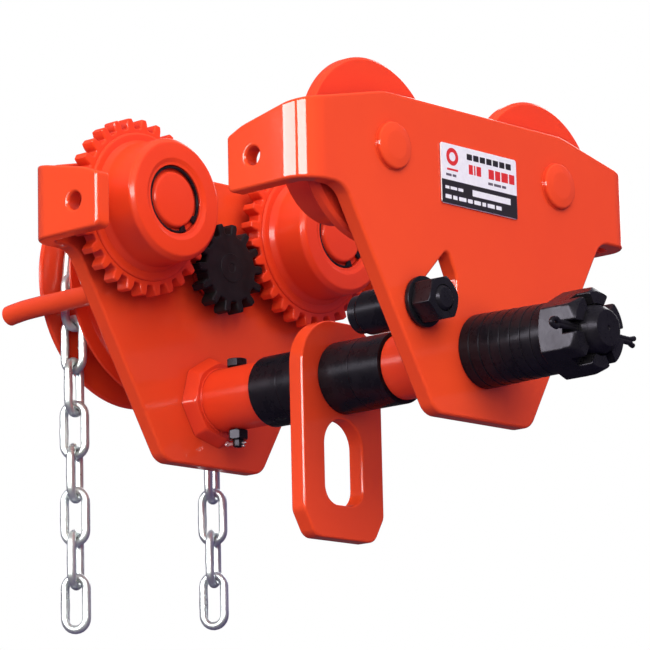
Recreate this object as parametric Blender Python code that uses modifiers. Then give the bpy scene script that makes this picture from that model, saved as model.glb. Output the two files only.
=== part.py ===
"""Hand-chain geared beam trolley, modelled as an assembly of separate pieces.

Frame: +X runs along the suspension shaft towards the plain side plate and the
castle nut, +Y runs along the beam, +Z is up. The geared side plate and the hand
chain are on the -X side. "Front" in a name means -Y and "rear" means +Y; "inner"
is towards the middle, x = 0, and "outer" is away from it.

Dimensions are in millimetres, measured from the point on the shaft's axis midway
between the two side plates. Meshes are made in metres, and the last step moves
every object so that the origin is the centre of the whole part's bounding box.
"""
import math
from collections import namedtuple

import bmesh
import bpy
from mathutils import Euler, Matrix, Vector

MM = 0.001                       # metres in a millimetre
BOX_CENTRE = (2.1, 0.0, 10.85)   # of the finished part

# ---------------------------------------------------------------- shared dimensions
GAP = 0.3                 # clearance between neighbouring solids

# side plates, as distances from the middle
PLATE_IN = 96.5
PLATE_T = 10.0
PLATE_OUT = PLATE_IN + PLATE_T
INNER_SEAT = PLATE_IN - GAP       # where a piece bears on a plate's inner face
OUTER_SEAT = PLATE_OUT + GAP      # where a piece bears on a plate's outer face

# suspension shaft
SHAFT_R = 13.5
SHAFT_BORE_R = SHAFT_R + GAP

# wheels and gears
WHEEL_Y = 68.9
WHEEL_Z = 102.4
MODULE = 3.5
GEAR_TEETH = 28
PINION_TEETH = 14
GEAR_CENTRES = MODULE * (GEAR_TEETH + PINION_TEETH) / 2
PINION_Z = WHEEL_Z - math.sqrt(GEAR_CENTRES ** 2 - WHEEL_Y ** 2)
BUSH_R = 15.0             # pinion bush where it passes through the geared plate

# anti-tilt roller
ROLLER_AT = (-49.0, 20.5)         # y, z
ROLLER_BOLT_R = 7.0

# ---------------------------------------------------------------- finishes
Finish = namedtuple("Finish", "prefix colour roughness metallic")
RED = Finish(prefix="paint_", colour=(0.80, 0.09, 0.03), roughness=0.3, metallic=0.0)
BLACK = Finish(prefix="blacked_", colour=(0.02, 0.02, 0.024), roughness=0.35, metallic=0.6)
ZINC = Finish(prefix="zinc_", colour=(0.62, 0.64, 0.66), roughness=0.25, metallic=1.0)
PALE = Finish(prefix="", colour=(0.8, 0.8, 0.8), roughness=0.3, metallic=0.0)


def material(name, finish):
    """A part's own material, named from the finish and the part."""
    made = bpy.data.materials.new(finish.prefix + name)
    made.use_nodes = True
    shader = made.node_tree.nodes["Principled BSDF"]
    shader.inputs["Base Color"].default_value = (*finish.colour, 1)
    shader.inputs["Roughness"].default_value = finish.roughness
    shader.inputs["Metallic"].default_value = finish.metallic
    made.diffuse_color = (*finish.colour, 1)
    return made


# ---------------------------------------------------------------- scene
for old in list(bpy.data.objects):
    bpy.data.objects.remove(old, do_unlink=True)

PARTS = bpy.data.collections.new("beam_trolley")
CUTTERS = bpy.data.collections.new("cutters")
for collection in (PARTS, CUTTERS):
    bpy.context.scene.collection.children.link(collection)
CUTTERS.hide_render = True
SHARP_ANGLE = math.radians(35)


# ---------------------------------------------------------------- solids
# In all of these, a piece without a finish is a hidden helper for a Boolean.
def add(name, mesh, finish=None):
    """Puts a mesh in the scene, as a part or as a helper."""
    obj = bpy.data.objects.new(name, mesh)
    if finish is None:
        CUTTERS.objects.link(obj)
        obj.hide_render = True
        obj.display_type = "WIRE"
        return obj
    PARTS.objects.link(obj)
    mesh.materials.append(material(name, finish))
    mesh.shade_smooth()
    mesh.set_sharp_from_angle(angle=SHARP_ANGLE)
    return obj


def add_bmesh(name, shape, finish=None):
    mesh = bpy.data.meshes.new(name)
    shape.to_mesh(mesh)
    shape.free()
    return add(name, mesh, finish)


def cylinder(name, radius, span, centre, finish=None, *, segments, axis="X", end_radius=None,
             turn=0.0):
    """A cylinder, cone frustum or (few segments) prism between two coordinates of its axis.

    centre holds the other two coordinates; end_radius is the radius at the span's high end.
    """
    shape = bmesh.new()
    bmesh.ops.create_cone(
        shape, cap_ends=True, cap_tris=False, segments=segments, radius1=radius * MM,
        radius2=(radius if end_radius is None else end_radius) * MM,
        depth=(span[1] - span[0]) * MM)
    middle = (span[0] + span[1]) / 2 * MM
    first, second = centre[0] * MM, centre[1] * MM
    if axis == "X":
        place = Matrix.Translation((middle, first, second))
        place = place @ Euler((0, math.pi / 2, 0)).to_matrix().to_4x4()
    elif axis == "Y":
        place = Matrix.Translation((first, middle, second))
        place = place @ Euler((-math.pi / 2, 0, 0)).to_matrix().to_4x4()
    else:
        place = Matrix.Translation((first, second, middle))
    spin = Matrix.Rotation(turn, 4, "Z")
    bmesh.ops.transform(shape, matrix=place @ spin, verts=shape.verts)
    return add_bmesh(name, shape, finish)


def hexagon(name, across_flats, span, centre, finish, axis="X", turn=0.0):
    return cylinder(name, across_flats / 2 / math.cos(math.pi / 6), span, centre, finish,
                    segments=6, axis=axis, turn=turn)


def box(name, low, high, finish=None, turn=Matrix.Identity(4)):
    shape = bmesh.new()
    bmesh.ops.create_cube(shape, size=1.0)
    size = [(b - a) * MM for a, b in zip(low, high)]
    middle = [(b + a) / 2 * MM for a, b in zip(low, high)]
    bmesh.ops.scale(shape, vec=size, verts=shape.verts)
    bmesh.ops.translate(shape, vec=middle, verts=shape.verts)
    bmesh.ops.transform(shape, matrix=turn, verts=shape.verts)
    return add_bmesh(name, shape, finish)


def turned(name, profile, centre, finish=None, *, segments, side=1):
    """A turned piece about an axis along X through (y, z) = centre.

    profile lists (radius, x) with x growing away from the middle on the given side.
    It is a closed loop, unless it starts and ends on the axis.
    """
    mesh = bpy.data.meshes.new(name)
    edges = [(i, i + 1) for i in range(len(profile) - 1)]
    if profile[0][0] != 0:
        edges.append((len(profile) - 1, 0))
    mesh.from_pydata([(radius * MM, 0, x * MM) for radius, x in profile], edges, [])
    obj = add(name, mesh, finish)
    screw = obj.modifiers.new("turn", "SCREW")
    screw.axis = "Z"
    screw.steps = screw.render_steps = segments
    screw.use_merge_vertices = True
    screw.merge_threshold = 0.00001
    screw.use_smooth_shade = True
    screw.use_normal_calculate = False
    obj.rotation_euler = (0, side * math.pi / 2, 0)
    obj.location = (0, centre[0] * MM, centre[1] * MM)
    return obj


def ring(name, span, radius, bore, centre=(0, 0)):
    """A blacked spacer or washer."""
    low, high = span
    turned(name, [(radius, high), (radius, low), (bore, low), (bore, high)], centre, BLACK,
           segments=20)


def add_curve(name, curve, loops, cyclic, finish, place=Matrix.Identity(4)):
    """Makes a mesh piece of a curve that runs through the given loops of points."""
    for loop in loops:
        spline = curve.splines.new("POLY")
        spline.points.add(len(loop) - 1)
        for point, position in zip(spline.points, loop):
            point.co = (*[value * MM for value in position], 1)
        spline.use_cyclic_u = cyclic
    temporary = bpy.data.objects.new(name + "_curve", curve)
    CUTTERS.objects.link(temporary)
    bpy.context.view_layer.update()
    evaluated = temporary.evaluated_get(bpy.context.evaluated_depsgraph_get())
    mesh = bpy.data.meshes.new_from_object(evaluated)
    bpy.data.objects.remove(temporary, do_unlink=True)
    shape = bmesh.new()
    shape.from_mesh(mesh)
    bpy.data.meshes.remove(mesh)
    bmesh.ops.remove_doubles(shape, verts=shape.verts, dist=1e-6)
    bmesh.ops.transform(shape, matrix=place, verts=shape.verts)
    bmesh.ops.recalc_face_normals(shape, faces=shape.faces)
    return add_bmesh(name, shape, finish)


def flat(name, loops, span, finish=None, centre=(0, 0)):
    """A flat plate between two x. The first loop of (y, z) is the outline, others are holes."""
    curve = bpy.data.curves.new(name, "CURVE")
    curve.dimensions = "2D"
    curve.fill_mode = "BOTH"
    curve.extrude = (span[1] - span[0]) / 2 * MM
    # local x, y, z of the curve become world Y, Z, X
    place = Matrix(((0, 0, 1, (span[0] + span[1]) / 2 * MM),
                    (1, 0, 0, centre[0] * MM),
                    (0, 1, 0, centre[1] * MM),
                    (0, 0, 0, 1)))
    loops = [[(y, z, 0) for y, z in loop] for loop in loops]
    return add_curve(name, curve, loops, True, finish, place)


def rod(name, points, radius, finish=None, *, resolution, cyclic=False):
    """A round rod or wire along a poly line, closed by caps unless it is cyclic."""
    curve = bpy.data.curves.new(name, "CURVE")
    curve.dimensions = "3D"
    curve.bevel_depth = radius * MM
    curve.bevel_resolution = resolution
    curve.use_fill_caps = not cyclic
    return add_curve(name, curve, [points], cyclic, finish)


def boolean(obj, other, operation="DIFFERENCE"):
    modifier = obj.modifiers.new(other.name, "BOOLEAN")
    modifier.operation = operation
    modifier.solver = "EXACT"
    modifier.object = other


def joined(name, pieces, finish=None):
    """Several meshes put into one object, for use in a single Boolean."""
    shape = bmesh.new()
    for piece in pieces:
        mesh = piece.data
        shape.from_mesh(mesh)
        bpy.data.objects.remove(piece, do_unlink=True)
        bpy.data.meshes.remove(mesh)
    return add_bmesh(name, shape, finish)


# split pin: where its leg starts to bend, back from the end, and how far the end drops
PIN_BEND_LEN = 5.0
PIN_BEND_DROP = 2.2


def cotter(name, centre, radius, length, axis, finish, eye):
    """A split pin along X or Y: one rod with a ball for its eye and a leg bent down."""
    def point(along, drop=0):
        x, y, z = centre
        return (x + along, y, z - drop) if axis == "X" else (x, y + along, z - drop)

    half = length / 2
    path = [point(-half), point(half - PIN_BEND_LEN), point(half, PIN_BEND_DROP)]
    pin = rod(name, path, radius, finish, resolution=1)
    ball = bmesh.new()
    bmesh.ops.create_uvsphere(ball, u_segments=10, v_segments=6, radius=(eye + radius) * MM)
    bmesh.ops.translate(ball, vec=[value * MM for value in point(-half - eye)],
                        verts=ball.verts)
    boolean(pin, add_bmesh(name + "_eye", ball), "UNION")


# ---------------------------------------------------------------- outlines
def on_side(side, near, far):
    """The x span between two distances from the middle, on the +X or -X side."""
    return tuple(sorted((side * near, side * far)))


def through_plate(side, margin=4.0):
    return on_side(side, PLATE_IN - margin, PLATE_OUT + margin)


def arc(radius, start, end, steps, centre_z=0):
    """Points (y, z) between two angles in degrees."""
    angles = [math.radians(start + (end - start) * i / steps) for i in range(steps + 1)]
    return [(radius * math.cos(angle), centre_z + radius * math.sin(angle)) for angle in angles]


def circle(radius, count):
    return arc(radius, 0, 360, count)[:-1]


def rounded(points, radii, steps=3):
    """A polygon with each corner rounded by its own radius (0 keeps it sharp)."""
    outline = []
    for i, (point, radius) in enumerate(zip(points, radii)):
        corner = Vector(point)
        if radius <= 0:
            outline.append((corner.x, corner.y))
            continue
        before = (Vector(points[i - 1]) - corner).normalized()
        after = (Vector(points[(i + 1) % len(points)]) - corner).normalized()
        half = math.acos(before.dot(after)) / 2
        reach = radius / math.tan(half)
        centre = corner + (before + after).normalized() * (radius / math.sin(half))
        start = corner + before * reach - centre
        end = corner + after * reach - centre
        sweep = start.angle_signed(end)
        for k in range(steps + 1):
            place = centre + Matrix.Rotation(-sweep * k / steps, 2) @ start
            outline.append((place.x, place.y))
    return outline


# ---------------------------------------------------------------- side plates
PLATE_MID = PLATE_IN + PLATE_T / 2
PLATE_TOP = 132.0
PLATE_TOP_HALF = 74.0     # half width of the level top edge
PLATE_LOW = -38.0
PLATE_LEN = 272.4         # over the bent lugs
SLANT = 0.59              # slope of the lower edges: dY per dZ
SLANT_Y0 = 61.7           # half width at the shaft's height
LOW_CORNER_R = 11.0
CORNER_R = 14.0           # ends of the top edge, and where slant meets lug
BEND_R = 16.0             # outside radius of the bends
BEND_MID_R = BEND_R - PLATE_T / 2
BEND_STEPS = 6
BEND_Y = PLATE_LEN / 2 - BEND_R   # where the flat part ends
LUG_LOW = 76.0
LUG_TOP_AT_BEND = 117.4
LUG_FAR = PLATE_OUT - 57.0        # a lug's free end, distance from the middle
LUG_HOLE_R = 5.0
LUG_HOLE_X = LUG_FAR + 18.4
LUG_HOLE_Z = 93.0
AXLE_HOLE_R = 9.0

# lug, (distance from the middle, z)
LUG_OUTLINE = [
    (PLATE_MID - BEND_MID_R, LUG_LOW), (PLATE_MID - BEND_MID_R, LUG_TOP_AT_BEND),
    (LUG_FAR + 10.3, 110.9), (LUG_FAR + 1.2, 106.6), (LUG_FAR, 105.2),
    (LUG_FAR, LUG_LOW + 3.2), (LUG_FAR + 3.2, LUG_LOW)]

# window in the plain plate: y, z, corner radius
WINDOW = [(-26.0, 53.0, 3.0), (-19.3, 38.5, 10.0), (-19.8, 22.0, 8.0),
          (-40.0, 11.5, 8.0), (-58.5, 12.5, 4.0), (-58.5, 20.5, 4.0)]


def plate_top(along):
    """Height of the falling top edge at a distance along the plate's mid-surface."""
    run = BEND_Y + BEND_MID_R * math.pi / 2 - PLATE_TOP_HALF
    return PLATE_TOP - (PLATE_TOP - LUG_TOP_AT_BEND) / run * (along - PLATE_TOP_HALF)


def plate_outline():
    """The flat part between the bends, (y, z)."""
    half_low = SLANT_Y0 + SLANT * PLATE_LOW
    half_high = SLANT_Y0 + SLANT * LUG_LOW
    bend_top = plate_top(BEND_Y)
    return rounded(
        [(BEND_Y, LUG_LOW), (BEND_Y, bend_top),
         (PLATE_TOP_HALF, PLATE_TOP), (-PLATE_TOP_HALF, PLATE_TOP),
         (-BEND_Y, bend_top), (-BEND_Y, LUG_LOW),
         (-half_high, LUG_LOW), (-half_low, PLATE_LOW),
         (half_low, PLATE_LOW), (half_high, LUG_LOW)],
        [0, 0, CORNER_R, CORNER_R, 0, 0, CORNER_R, LOW_CORNER_R, LOW_CORNER_R, CORNER_R])


def side_plate(name, side, own_cut):
    """A mid-surface sheet with its two ends turned towards the middle, thickened and cut."""
    sheet = bmesh.new()
    sheet.faces.new([sheet.verts.new((side * PLATE_MID, y, z)) for y, z in plate_outline()])
    for end in (1, -1):
        previous = None
        for i in range(BEND_STEPS + 1):
            angle = math.pi / 2 * i / BEND_STEPS
            x = side * (PLATE_MID - BEND_MID_R + BEND_MID_R * math.cos(angle))
            y = end * (BEND_Y + BEND_MID_R * math.sin(angle))
            top = plate_top(BEND_Y + BEND_MID_R * angle)
            pair = (sheet.verts.new((x, y, LUG_LOW)), sheet.verts.new((x, y, top)))
            if previous:
                sheet.faces.new((previous[0], previous[1], pair[1], pair[0]))
            previous = pair
        y = end * (PLATE_LEN / 2 - PLATE_T / 2)
        sheet.faces.new([sheet.verts.new((side * x, y, z)) for x, z in LUG_OUTLINE])
    bmesh.ops.remove_doubles(sheet, verts=sheet.verts, dist=0.01)
    bmesh.ops.recalc_face_normals(sheet, faces=sheet.faces)
    bmesh.ops.scale(sheet, vec=(MM, MM, MM), verts=sheet.verts)
    plate = add_bmesh(name, sheet, RED)
    thick = plate.modifiers.new("thickness", "SOLIDIFY")
    thick.thickness = PLATE_T * MM
    thick.offset = 0
    thick.use_even_offset = True

    span = through_plate(side)
    cuts = [own_cut,
            cylinder(name + "_lug_holes", LUG_HOLE_R, (-PLATE_LEN / 2 - 5, PLATE_LEN / 2 + 5),
                     (side * LUG_HOLE_X, LUG_HOLE_Z), segments=16, axis="Y"),
            cylinder(name + "_shaft_hole", SHAFT_BORE_R, span, (0, 0), segments=24)]
    for y in (-WHEEL_Y, WHEEL_Y):
        cuts.append(cylinder(name + "_axle_hole", AXLE_HOLE_R, span, (y, WHEEL_Z), segments=18))
    boolean(plate, joined(name + "_cuts", cuts))
    return plate


window = rounded([(y, z) for y, z, radius in WINDOW], [radius for y, z, radius in WINDOW])
plain_plate = side_plate("side_plate_plain", 1, flat("window_cut", [window], through_plate(1)))
boolean(plain_plate, cylinder("roller_seat", ROLLER_BOLT_R + 2 * GAP, through_plate(1, 3.0),
                              ROLLER_AT, segments=20))
side_plate("side_plate_geared", -1,
           cylinder("pinion_hole", BUSH_R + GAP, through_plate(-1), (0, PINION_Z), segments=24))

# ---------------------------------------------------------------- suspension shaft
SHAFT_X = (-110.0, 193.0)
SHAFT_CHAMFER = 1.5       # at the -X end
COTTER_X = 181.0
COTTER_HOLE_R = 3.4
LOCK_X = -77.5            # lock bolt through boss and shaft
LOCK_R = 3.2
LOCK_HOLE_R = LOCK_R + GAP

shaft = turned(
    "suspension_shaft",
    [(0, SHAFT_X[1]), (9.6, SHAFT_X[1]), (12.2, SHAFT_X[1] - 3), (SHAFT_R, SHAFT_X[1] - 7),
     (SHAFT_R, SHAFT_X[0] + SHAFT_CHAMFER), (SHAFT_R - SHAFT_CHAMFER, SHAFT_X[0]),
     (0, SHAFT_X[0])], (0, 0), BLACK, segments=24)
lock_hole = cylinder("lock_bolt_hole", LOCK_HOLE_R, (-40, 40), (LOCK_X, 0), segments=16, axis="Z")
boolean(shaft, lock_hole)
boolean(shaft, cylinder("cotter_hole", COTTER_HOLE_R, (-40, 40), (COTTER_X, 0), segments=12,
                        axis="Y"))

# ---------------------------------------------------------------- bosses
BOSS_R = 18.3
BOSS_CHAMFER = 0.8
BOSS_GEARED_END = -50.0
BOSS_PLAIN_END = 48.5
COLLAR_FLAT_R = (24.6, 21.0)      # axis to flat, at the plate and at the inner end
COLLAR_LEN = 8.4
COLLAR_TURN = math.radians(7)


def spindle_boss(name, side, end):
    """A tube from a plate's inner face to the given distance from the middle."""
    return turned(name, [(BOSS_R, INNER_SEAT), (BOSS_R, end + BOSS_CHAMFER),
                         (BOSS_R - BOSS_CHAMFER, end), (SHAFT_BORE_R, end),
                         (SHAFT_BORE_R, INNER_SEAT)], (0, 0), RED, segments=24, side=side)


# the geared side's boss has an eight-sided tapered collar
geared_boss = spindle_boss("spindle_boss_geared", -1, -BOSS_GEARED_END)
collar_radii = [radius / math.cos(math.pi / 8) for radius in COLLAR_FLAT_R]
collar = cylinder("boss_collar", collar_radii[0], (-INNER_SEAT, -INNER_SEAT + COLLAR_LEN), (0, 0),
                  segments=8, end_radius=collar_radii[1], turn=COLLAR_TURN)
boolean(collar, cylinder("boss_collar_bore", SHAFT_BORE_R + 2, (-PLATE_IN - 4, -PLATE_IN + 20),
                         (0, 0), segments=24))
boolean(geared_boss, collar, "UNION")
boolean(geared_boss, lock_hole)
spindle_boss("spindle_boss_plain", 1, BOSS_PLAIN_END)

# ---------------------------------------------------------------- spacers
SPACER_R = 20.3
SPACER_BORE_R = 13.9
OUTER_SPACERS = 8
OUTER_SPACER_W = 6.6
OUTER_SPACER_STEP = 0.18  # each outer spacer's radius is this much less than the last
SUSP_X = (-6.6, 3.8)      # suspension plate

# two spacers fill the room on each side of the suspension plate
number = 1
for start, end in ((BOSS_GEARED_END + GAP, SUSP_X[0] - GAP), (SUSP_X[1] + GAP, BOSS_PLAIN_END - GAP)):
    width = (end - start - GAP) / 2
    for span in ((start, start + width), (start + width + GAP, end)):
        ring(f"spacer_inner_{number}", span, SPACER_R, SPACER_BORE_R)
        number += 1
for i in range(OUTER_SPACERS):
    start = OUTER_SEAT + i * (OUTER_SPACER_W + GAP)
    ring(f"spacer_outer_{i + 1}", (start, start + OUTER_SPACER_W),
         SPACER_R - OUTER_SPACER_STEP * i, SPACER_BORE_R)

# ---------------------------------------------------------------- castle nut
NUT_X = (162.0, 187.0)
NUT_FLATS = 41.0
NUT_CONE_LEN = 6.0
SLOT_DEPTH = 9.0
SLOT_HALF_W = 3.6

# one hexagon, its +X corners turned down, six slots across the middles of its flats
nut = hexagon("castle_nut", NUT_FLATS, NUT_X, (0, 0), BLACK, turn=math.radians(30))
turned_down = turned(
    "castle_chamfer",
    [(0, NUT_X[1] + 1), (NUT_FLATS / 2 - 0.6, NUT_X[1] + 1),
     (NUT_FLATS / 2 + 5, NUT_X[1] - NUT_CONE_LEN), (NUT_FLATS / 2 + 5, NUT_X[0] - 3),
     (0, NUT_X[0] - 3)], (0, 0), segments=30)
boolean(nut, turned_down, "INTERSECT")
for i in range(3):
    boolean(nut, box("castle_slot", (NUT_X[1] - SLOT_DEPTH, -30, -SLOT_HALF_W),
                     (NUT_X[1] + 5, 30, SLOT_HALF_W),
                     turn=Matrix.Rotation(math.radians(60 * i), 4, "X")))
boolean(nut, cylinder("castle_bore", SHAFT_BORE_R, (NUT_X[0] - 5, NUT_X[1] + 5), (0, 0),
                      segments=24))
cotter("castle_nut_cotter_pin", (COTTER_X, 0, 0), radius=2.9, length=60.0, axis="Y",
       finish=BLACK, eye=1.4)

# ---------------------------------------------------------------- suspension plate
SUSP_HALF = 32.4
SUSP_TOP = 32.0
SUSP_LOW = -90.5
SUSP_LOW_HALF = 24.0      # half width of the bottom edge
SUSP_SIDE_LOW = -76.0     # lower end of the upright edges
SUSP_HOLE_R = 14.0
SLOT_HALF = 15.2
SLOT_LOW = -71.3
SLOT_ARC_Z = -23.0 - SLOT_HALF    # centre of the slot's round top
SLOT_CORNER_R = 9.0

susp_outline = rounded(
    [(-SUSP_HALF, SUSP_TOP), (SUSP_HALF, SUSP_TOP), (SUSP_HALF, SUSP_SIDE_LOW),
     (SUSP_LOW_HALF, SUSP_LOW), (-SUSP_LOW_HALF, SUSP_LOW), (-SUSP_HALF, SUSP_SIDE_LOW)],
    [26, 26, 4, 5, 5, 4], steps=5)
# the first and last points only give the directions of the slot's sides, and are left out
slot_bottom = rounded(
    [(-SLOT_HALF, SLOT_ARC_Z - 1), (-SLOT_HALF, SLOT_LOW), (SLOT_HALF, SLOT_LOW),
     (SLOT_HALF, SLOT_ARC_Z - 1)], [0, SLOT_CORNER_R, SLOT_CORNER_R, 0], steps=4)[1:-1]
slot_outline = arc(SLOT_HALF, 0, 180, 10, SLOT_ARC_Z) + slot_bottom
flat("suspension_plate", [susp_outline, slot_outline, circle(SUSP_HOLE_R, 24)], SUSP_X, RED)

# ---------------------------------------------------------------- lock bolt, upright
LOCK_SEAT = BOSS_R + GAP
LOCK_HEAD_FLATS = 11.0
LOCK_HEAD_H = 4.2
LOCK_NUT_FLATS = 10.4
LOCK_NUT_H = 5.4
LOCK_PIN_Z = -BOSS_R - 8.0
LOCK_PIN_HOLE_R = 1.2

bolt = hexagon("lock_bolt", LOCK_HEAD_FLATS, (LOCK_SEAT, LOCK_SEAT + LOCK_HEAD_H), (LOCK_X, 0),
               BLACK, axis="Z")
boolean(bolt, cylinder("lock_bolt_shank", LOCK_R, (-BOSS_R - 10.2, BOSS_R + 2.0), (LOCK_X, 0),
                       segments=16, axis="Z"), "UNION")
boolean(bolt, cylinder("lock_bolt_cotter_hole", LOCK_PIN_HOLE_R, (LOCK_X - 20, LOCK_X + 20),
                       (0, LOCK_PIN_Z), segments=8))
lock_nut = hexagon("lock_nut", LOCK_NUT_FLATS, (-LOCK_SEAT - LOCK_NUT_H, -LOCK_SEAT),
                   (LOCK_X, 0), BLACK, axis="Z")
boolean(lock_nut, cylinder("lock_nut_bore", LOCK_HOLE_R, (-40, 0), (LOCK_X, 0), segments=16,
                           axis="Z"))
cotter("lock_cotter_pin", (LOCK_X + 0.3, 0, LOCK_PIN_Z), radius=0.85, length=18.0, axis="X",
       finish=ZINC, eye=0.7)

# ---------------------------------------------------------------- gear teeth
PRESSURE = math.radians(20)
TOOTH_SLACK = 0.7         # taken off each tooth's thickness at the pitch circle


def gear_outline(teeth, tip, root, phase):
    """Teeth between tip and root radii, each flank an involute above the base circle."""
    pitch_radius = MODULE * teeth / 2
    base = pitch_radius * math.cos(PRESSURE)
    half_at_base = (math.pi / (2 * teeth) - TOOTH_SLACK / (2 * pitch_radius)
                    + (math.tan(PRESSURE) - PRESSURE))

    def half_angle(radius):
        if radius <= base:
            return half_at_base
        roll = math.acos(base / radius)
        return half_at_base - (math.tan(roll) - roll)

    radii = [root, (max(base, root) + pitch_radius) / 2, tip]
    flank = [(radius, -half_angle(radius)) for radius in radii]
    flank += [(radius, half_angle(radius)) for radius in reversed(radii)]
    points = []
    for k in range(teeth):
        middle = phase + 2 * math.pi * k / teeth
        for radius, offset in flank:
            points.append((radius * math.cos(middle + offset), radius * math.sin(middle + offset)))
    return points


# a pinion tooth points at the front wheel; the wheels' phases mesh with it
to_front = math.atan2(WHEEL_Z - PINION_Z, -WHEEL_Y)
to_rear = math.atan2(WHEEL_Z - PINION_Z, WHEEL_Y)
half_tooth = math.pi / GEAR_TEETH
past_tooth = (to_rear - to_front) % (2 * math.pi / PINION_TEETH)
front_phase = to_front + math.pi + half_tooth
rear_phase = to_rear + math.pi + half_tooth + past_tooth * PINION_TEETH / GEAR_TEETH

# ---------------------------------------------------------------- wheels
# distances from the middle
WHEEL_OUT = 93.2          # outer face of the flange
WHEEL_IN = 55.0           # inner face of the tread
GEAR_OUT = 90.2           # outer face of the teeth
GEAR_IN = WHEEL_OUT - 12.0
BEARING_STEP = 79.0       # where the bearing bore ends
CAP_RIM = 59.0            # inner face of the dust cap's rim
# sizes
TREAD_R = 35.0
FLANGE_R = 51.0
FLANGE_IN = WHEEL_OUT - 8.5
EDGE = 1.4                # chamfer of the tread and the flange
HUB_R = TREAD_R + 4.5     # of a geared wheel, under its teeth
WHEEL_BORE_R = 19.5       # bearing bore and dust cap recess
WHEEL_OUTER_BORE_R = 13.0
AXLE_HEAD_R = 13.0
AXLE_R = 10.0             # inside the bearing
AXLE_STEM_R = 8.6         # through the plate
AXLE_SHOULDER_R = 12.5
CLIP_T = 1.4
CLIP_OPENING = (-50.0, 12.0)      # degrees: middle, half width

PLAIN_RIM = [
    (FLANGE_R - EDGE, WHEEL_OUT), (FLANGE_R, WHEEL_OUT - EDGE), (FLANGE_R, FLANGE_IN + 2.2),
    (FLANGE_R - 2.2, FLANGE_IN), (TREAD_R + 2.6, FLANGE_IN - 1.0), (TREAD_R, FLANGE_IN - 4.0)]
GEARED_RIM = [
    (HUB_R, WHEEL_OUT - 0.6), (HUB_R, GEAR_IN + 0.6), (TREAD_R + 2.4, GEAR_IN - 1.4),
    (TREAD_R, GEAR_IN - 4.4)]


def axle_and_fittings(tag, side, y):
    centre = (y, WHEEL_Z)
    turned("wheel_axle_" + tag,
           [(0, OUTER_SEAT + 3.2), (AXLE_HEAD_R - 1.0, OUTER_SEAT + 3.2),
            (AXLE_HEAD_R, OUTER_SEAT + 2.2), (AXLE_HEAD_R, OUTER_SEAT),
            (AXLE_STEM_R, OUTER_SEAT), (AXLE_STEM_R, INNER_SEAT),
            (AXLE_SHOULDER_R, INNER_SEAT), (AXLE_SHOULDER_R, BEARING_STEP + GAP),
            (AXLE_R, BEARING_STEP + GAP), (AXLE_R, 61.5), (0, 61.5)],
           centre, RED, segments=18, side=side)
    turned("wheel_bearing_" + tag,
           [(WHEEL_BORE_R - GAP, BEARING_STEP - GAP), (WHEEL_BORE_R - GAP, 60.9),
            (AXLE_R + GAP, 60.9), (AXLE_R + GAP, BEARING_STEP - GAP)],
           centre, ZINC, segments=20, side=side)
    turned("dust_cap_" + tag,
           [(0, 60.4), (WHEEL_BORE_R - GAP, 60.4), (WHEEL_BORE_R - GAP, CAP_RIM),
            (16.2, CAP_RIM), (15.6, 56.6), (0, 56.6)], centre, RED, segments=20, side=side)
    # open snap ring on the inner side of the cap's rim
    middle, half = CLIP_OPENING
    start, end = middle + half, middle + 360 - half
    outline = arc(WHEEL_BORE_R - 2 * GAP, start, end, 14) + arc(17.0, end, start, 14)
    clip_out = CAP_RIM - GAP
    flat("circlip_" + tag, [outline], on_side(side, clip_out - CLIP_T, clip_out), BLACK, centre)


def wheel(kind, end, side, y, rim):
    """A wheel from its rim's profile, with the tread and stepped bore common to both kinds."""
    profile = rim + [
        (TREAD_R, WHEEL_IN + EDGE), (TREAD_R - EDGE, WHEEL_IN), (WHEEL_BORE_R, WHEEL_IN),
        (WHEEL_BORE_R, BEARING_STEP), (WHEEL_OUTER_BORE_R, BEARING_STEP),
        (WHEEL_OUTER_BORE_R, rim[0][1])]
    made = turned(f"{kind}_wheel_{end}", profile, (y, WHEEL_Z), RED, segments=26, side=side)
    axle_and_fittings(f"{kind}_{end}", side, y)
    return made


for end, y, phase in (("front", -WHEEL_Y, front_phase), ("rear", WHEEL_Y, rear_phase)):
    wheel("plain", end, 1, y, PLAIN_RIM)
    geared = wheel("geared", end, -1, y, GEARED_RIM)
    teeth = gear_outline(GEAR_TEETH, tip=51.8, root=44.8, phase=phase)
    boolean(geared, flat("teeth_" + end, [teeth, circle(27, 12)], on_side(-1, GEAR_IN, GEAR_OUT),
                         centre=(y, WHEEL_Z)), "UNION")

# ---------------------------------------------------------------- drive pinion and shaft
DRIVE_AT = (0, PINION_Z)
PINION_X = (-90.6, -80.4)
DRIVE_R = 9.0
DRIVE_BORE_R = DRIVE_R + GAP
DRIVE_END_R = 8.0         # beyond the hand chain wheel
DRIVE_SHOULDER = 170.6
DRIVE_PIN_X = -181.5
DRIVE_PIN_HOLE_R = 2.0

pinion = flat("drive_pinion", [gear_outline(PINION_TEETH, tip=27.3, root=19.9, phase=to_front)],
              PINION_X, BLACK, DRIVE_AT)
boolean(pinion, turned(
    "drive_shaft",
    [(0, 184.0), (DRIVE_END_R - 1, 184.0), (DRIVE_END_R, 183.0), (DRIVE_END_R, DRIVE_SHOULDER),
     (DRIVE_R, DRIVE_SHOULDER), (DRIVE_R, 90.0), (0, 90.0)],
    DRIVE_AT, segments=20, side=-1), "UNION")
boolean(pinion, cylinder("drive_cotter_hole", DRIVE_PIN_HOLE_R, (-20, 20),
                         (DRIVE_PIN_X, PINION_Z), segments=8, axis="Y"))

turned("pinion_bush",
       [(24.0, 111.6), (24.0, OUTER_SEAT), (BUSH_R, OUTER_SEAT), (BUSH_R, 95.2),
        (DRIVE_BORE_R, 95.2), (DRIVE_BORE_R, 111.6)], DRIVE_AT, RED, segments=20, side=-1)

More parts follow.
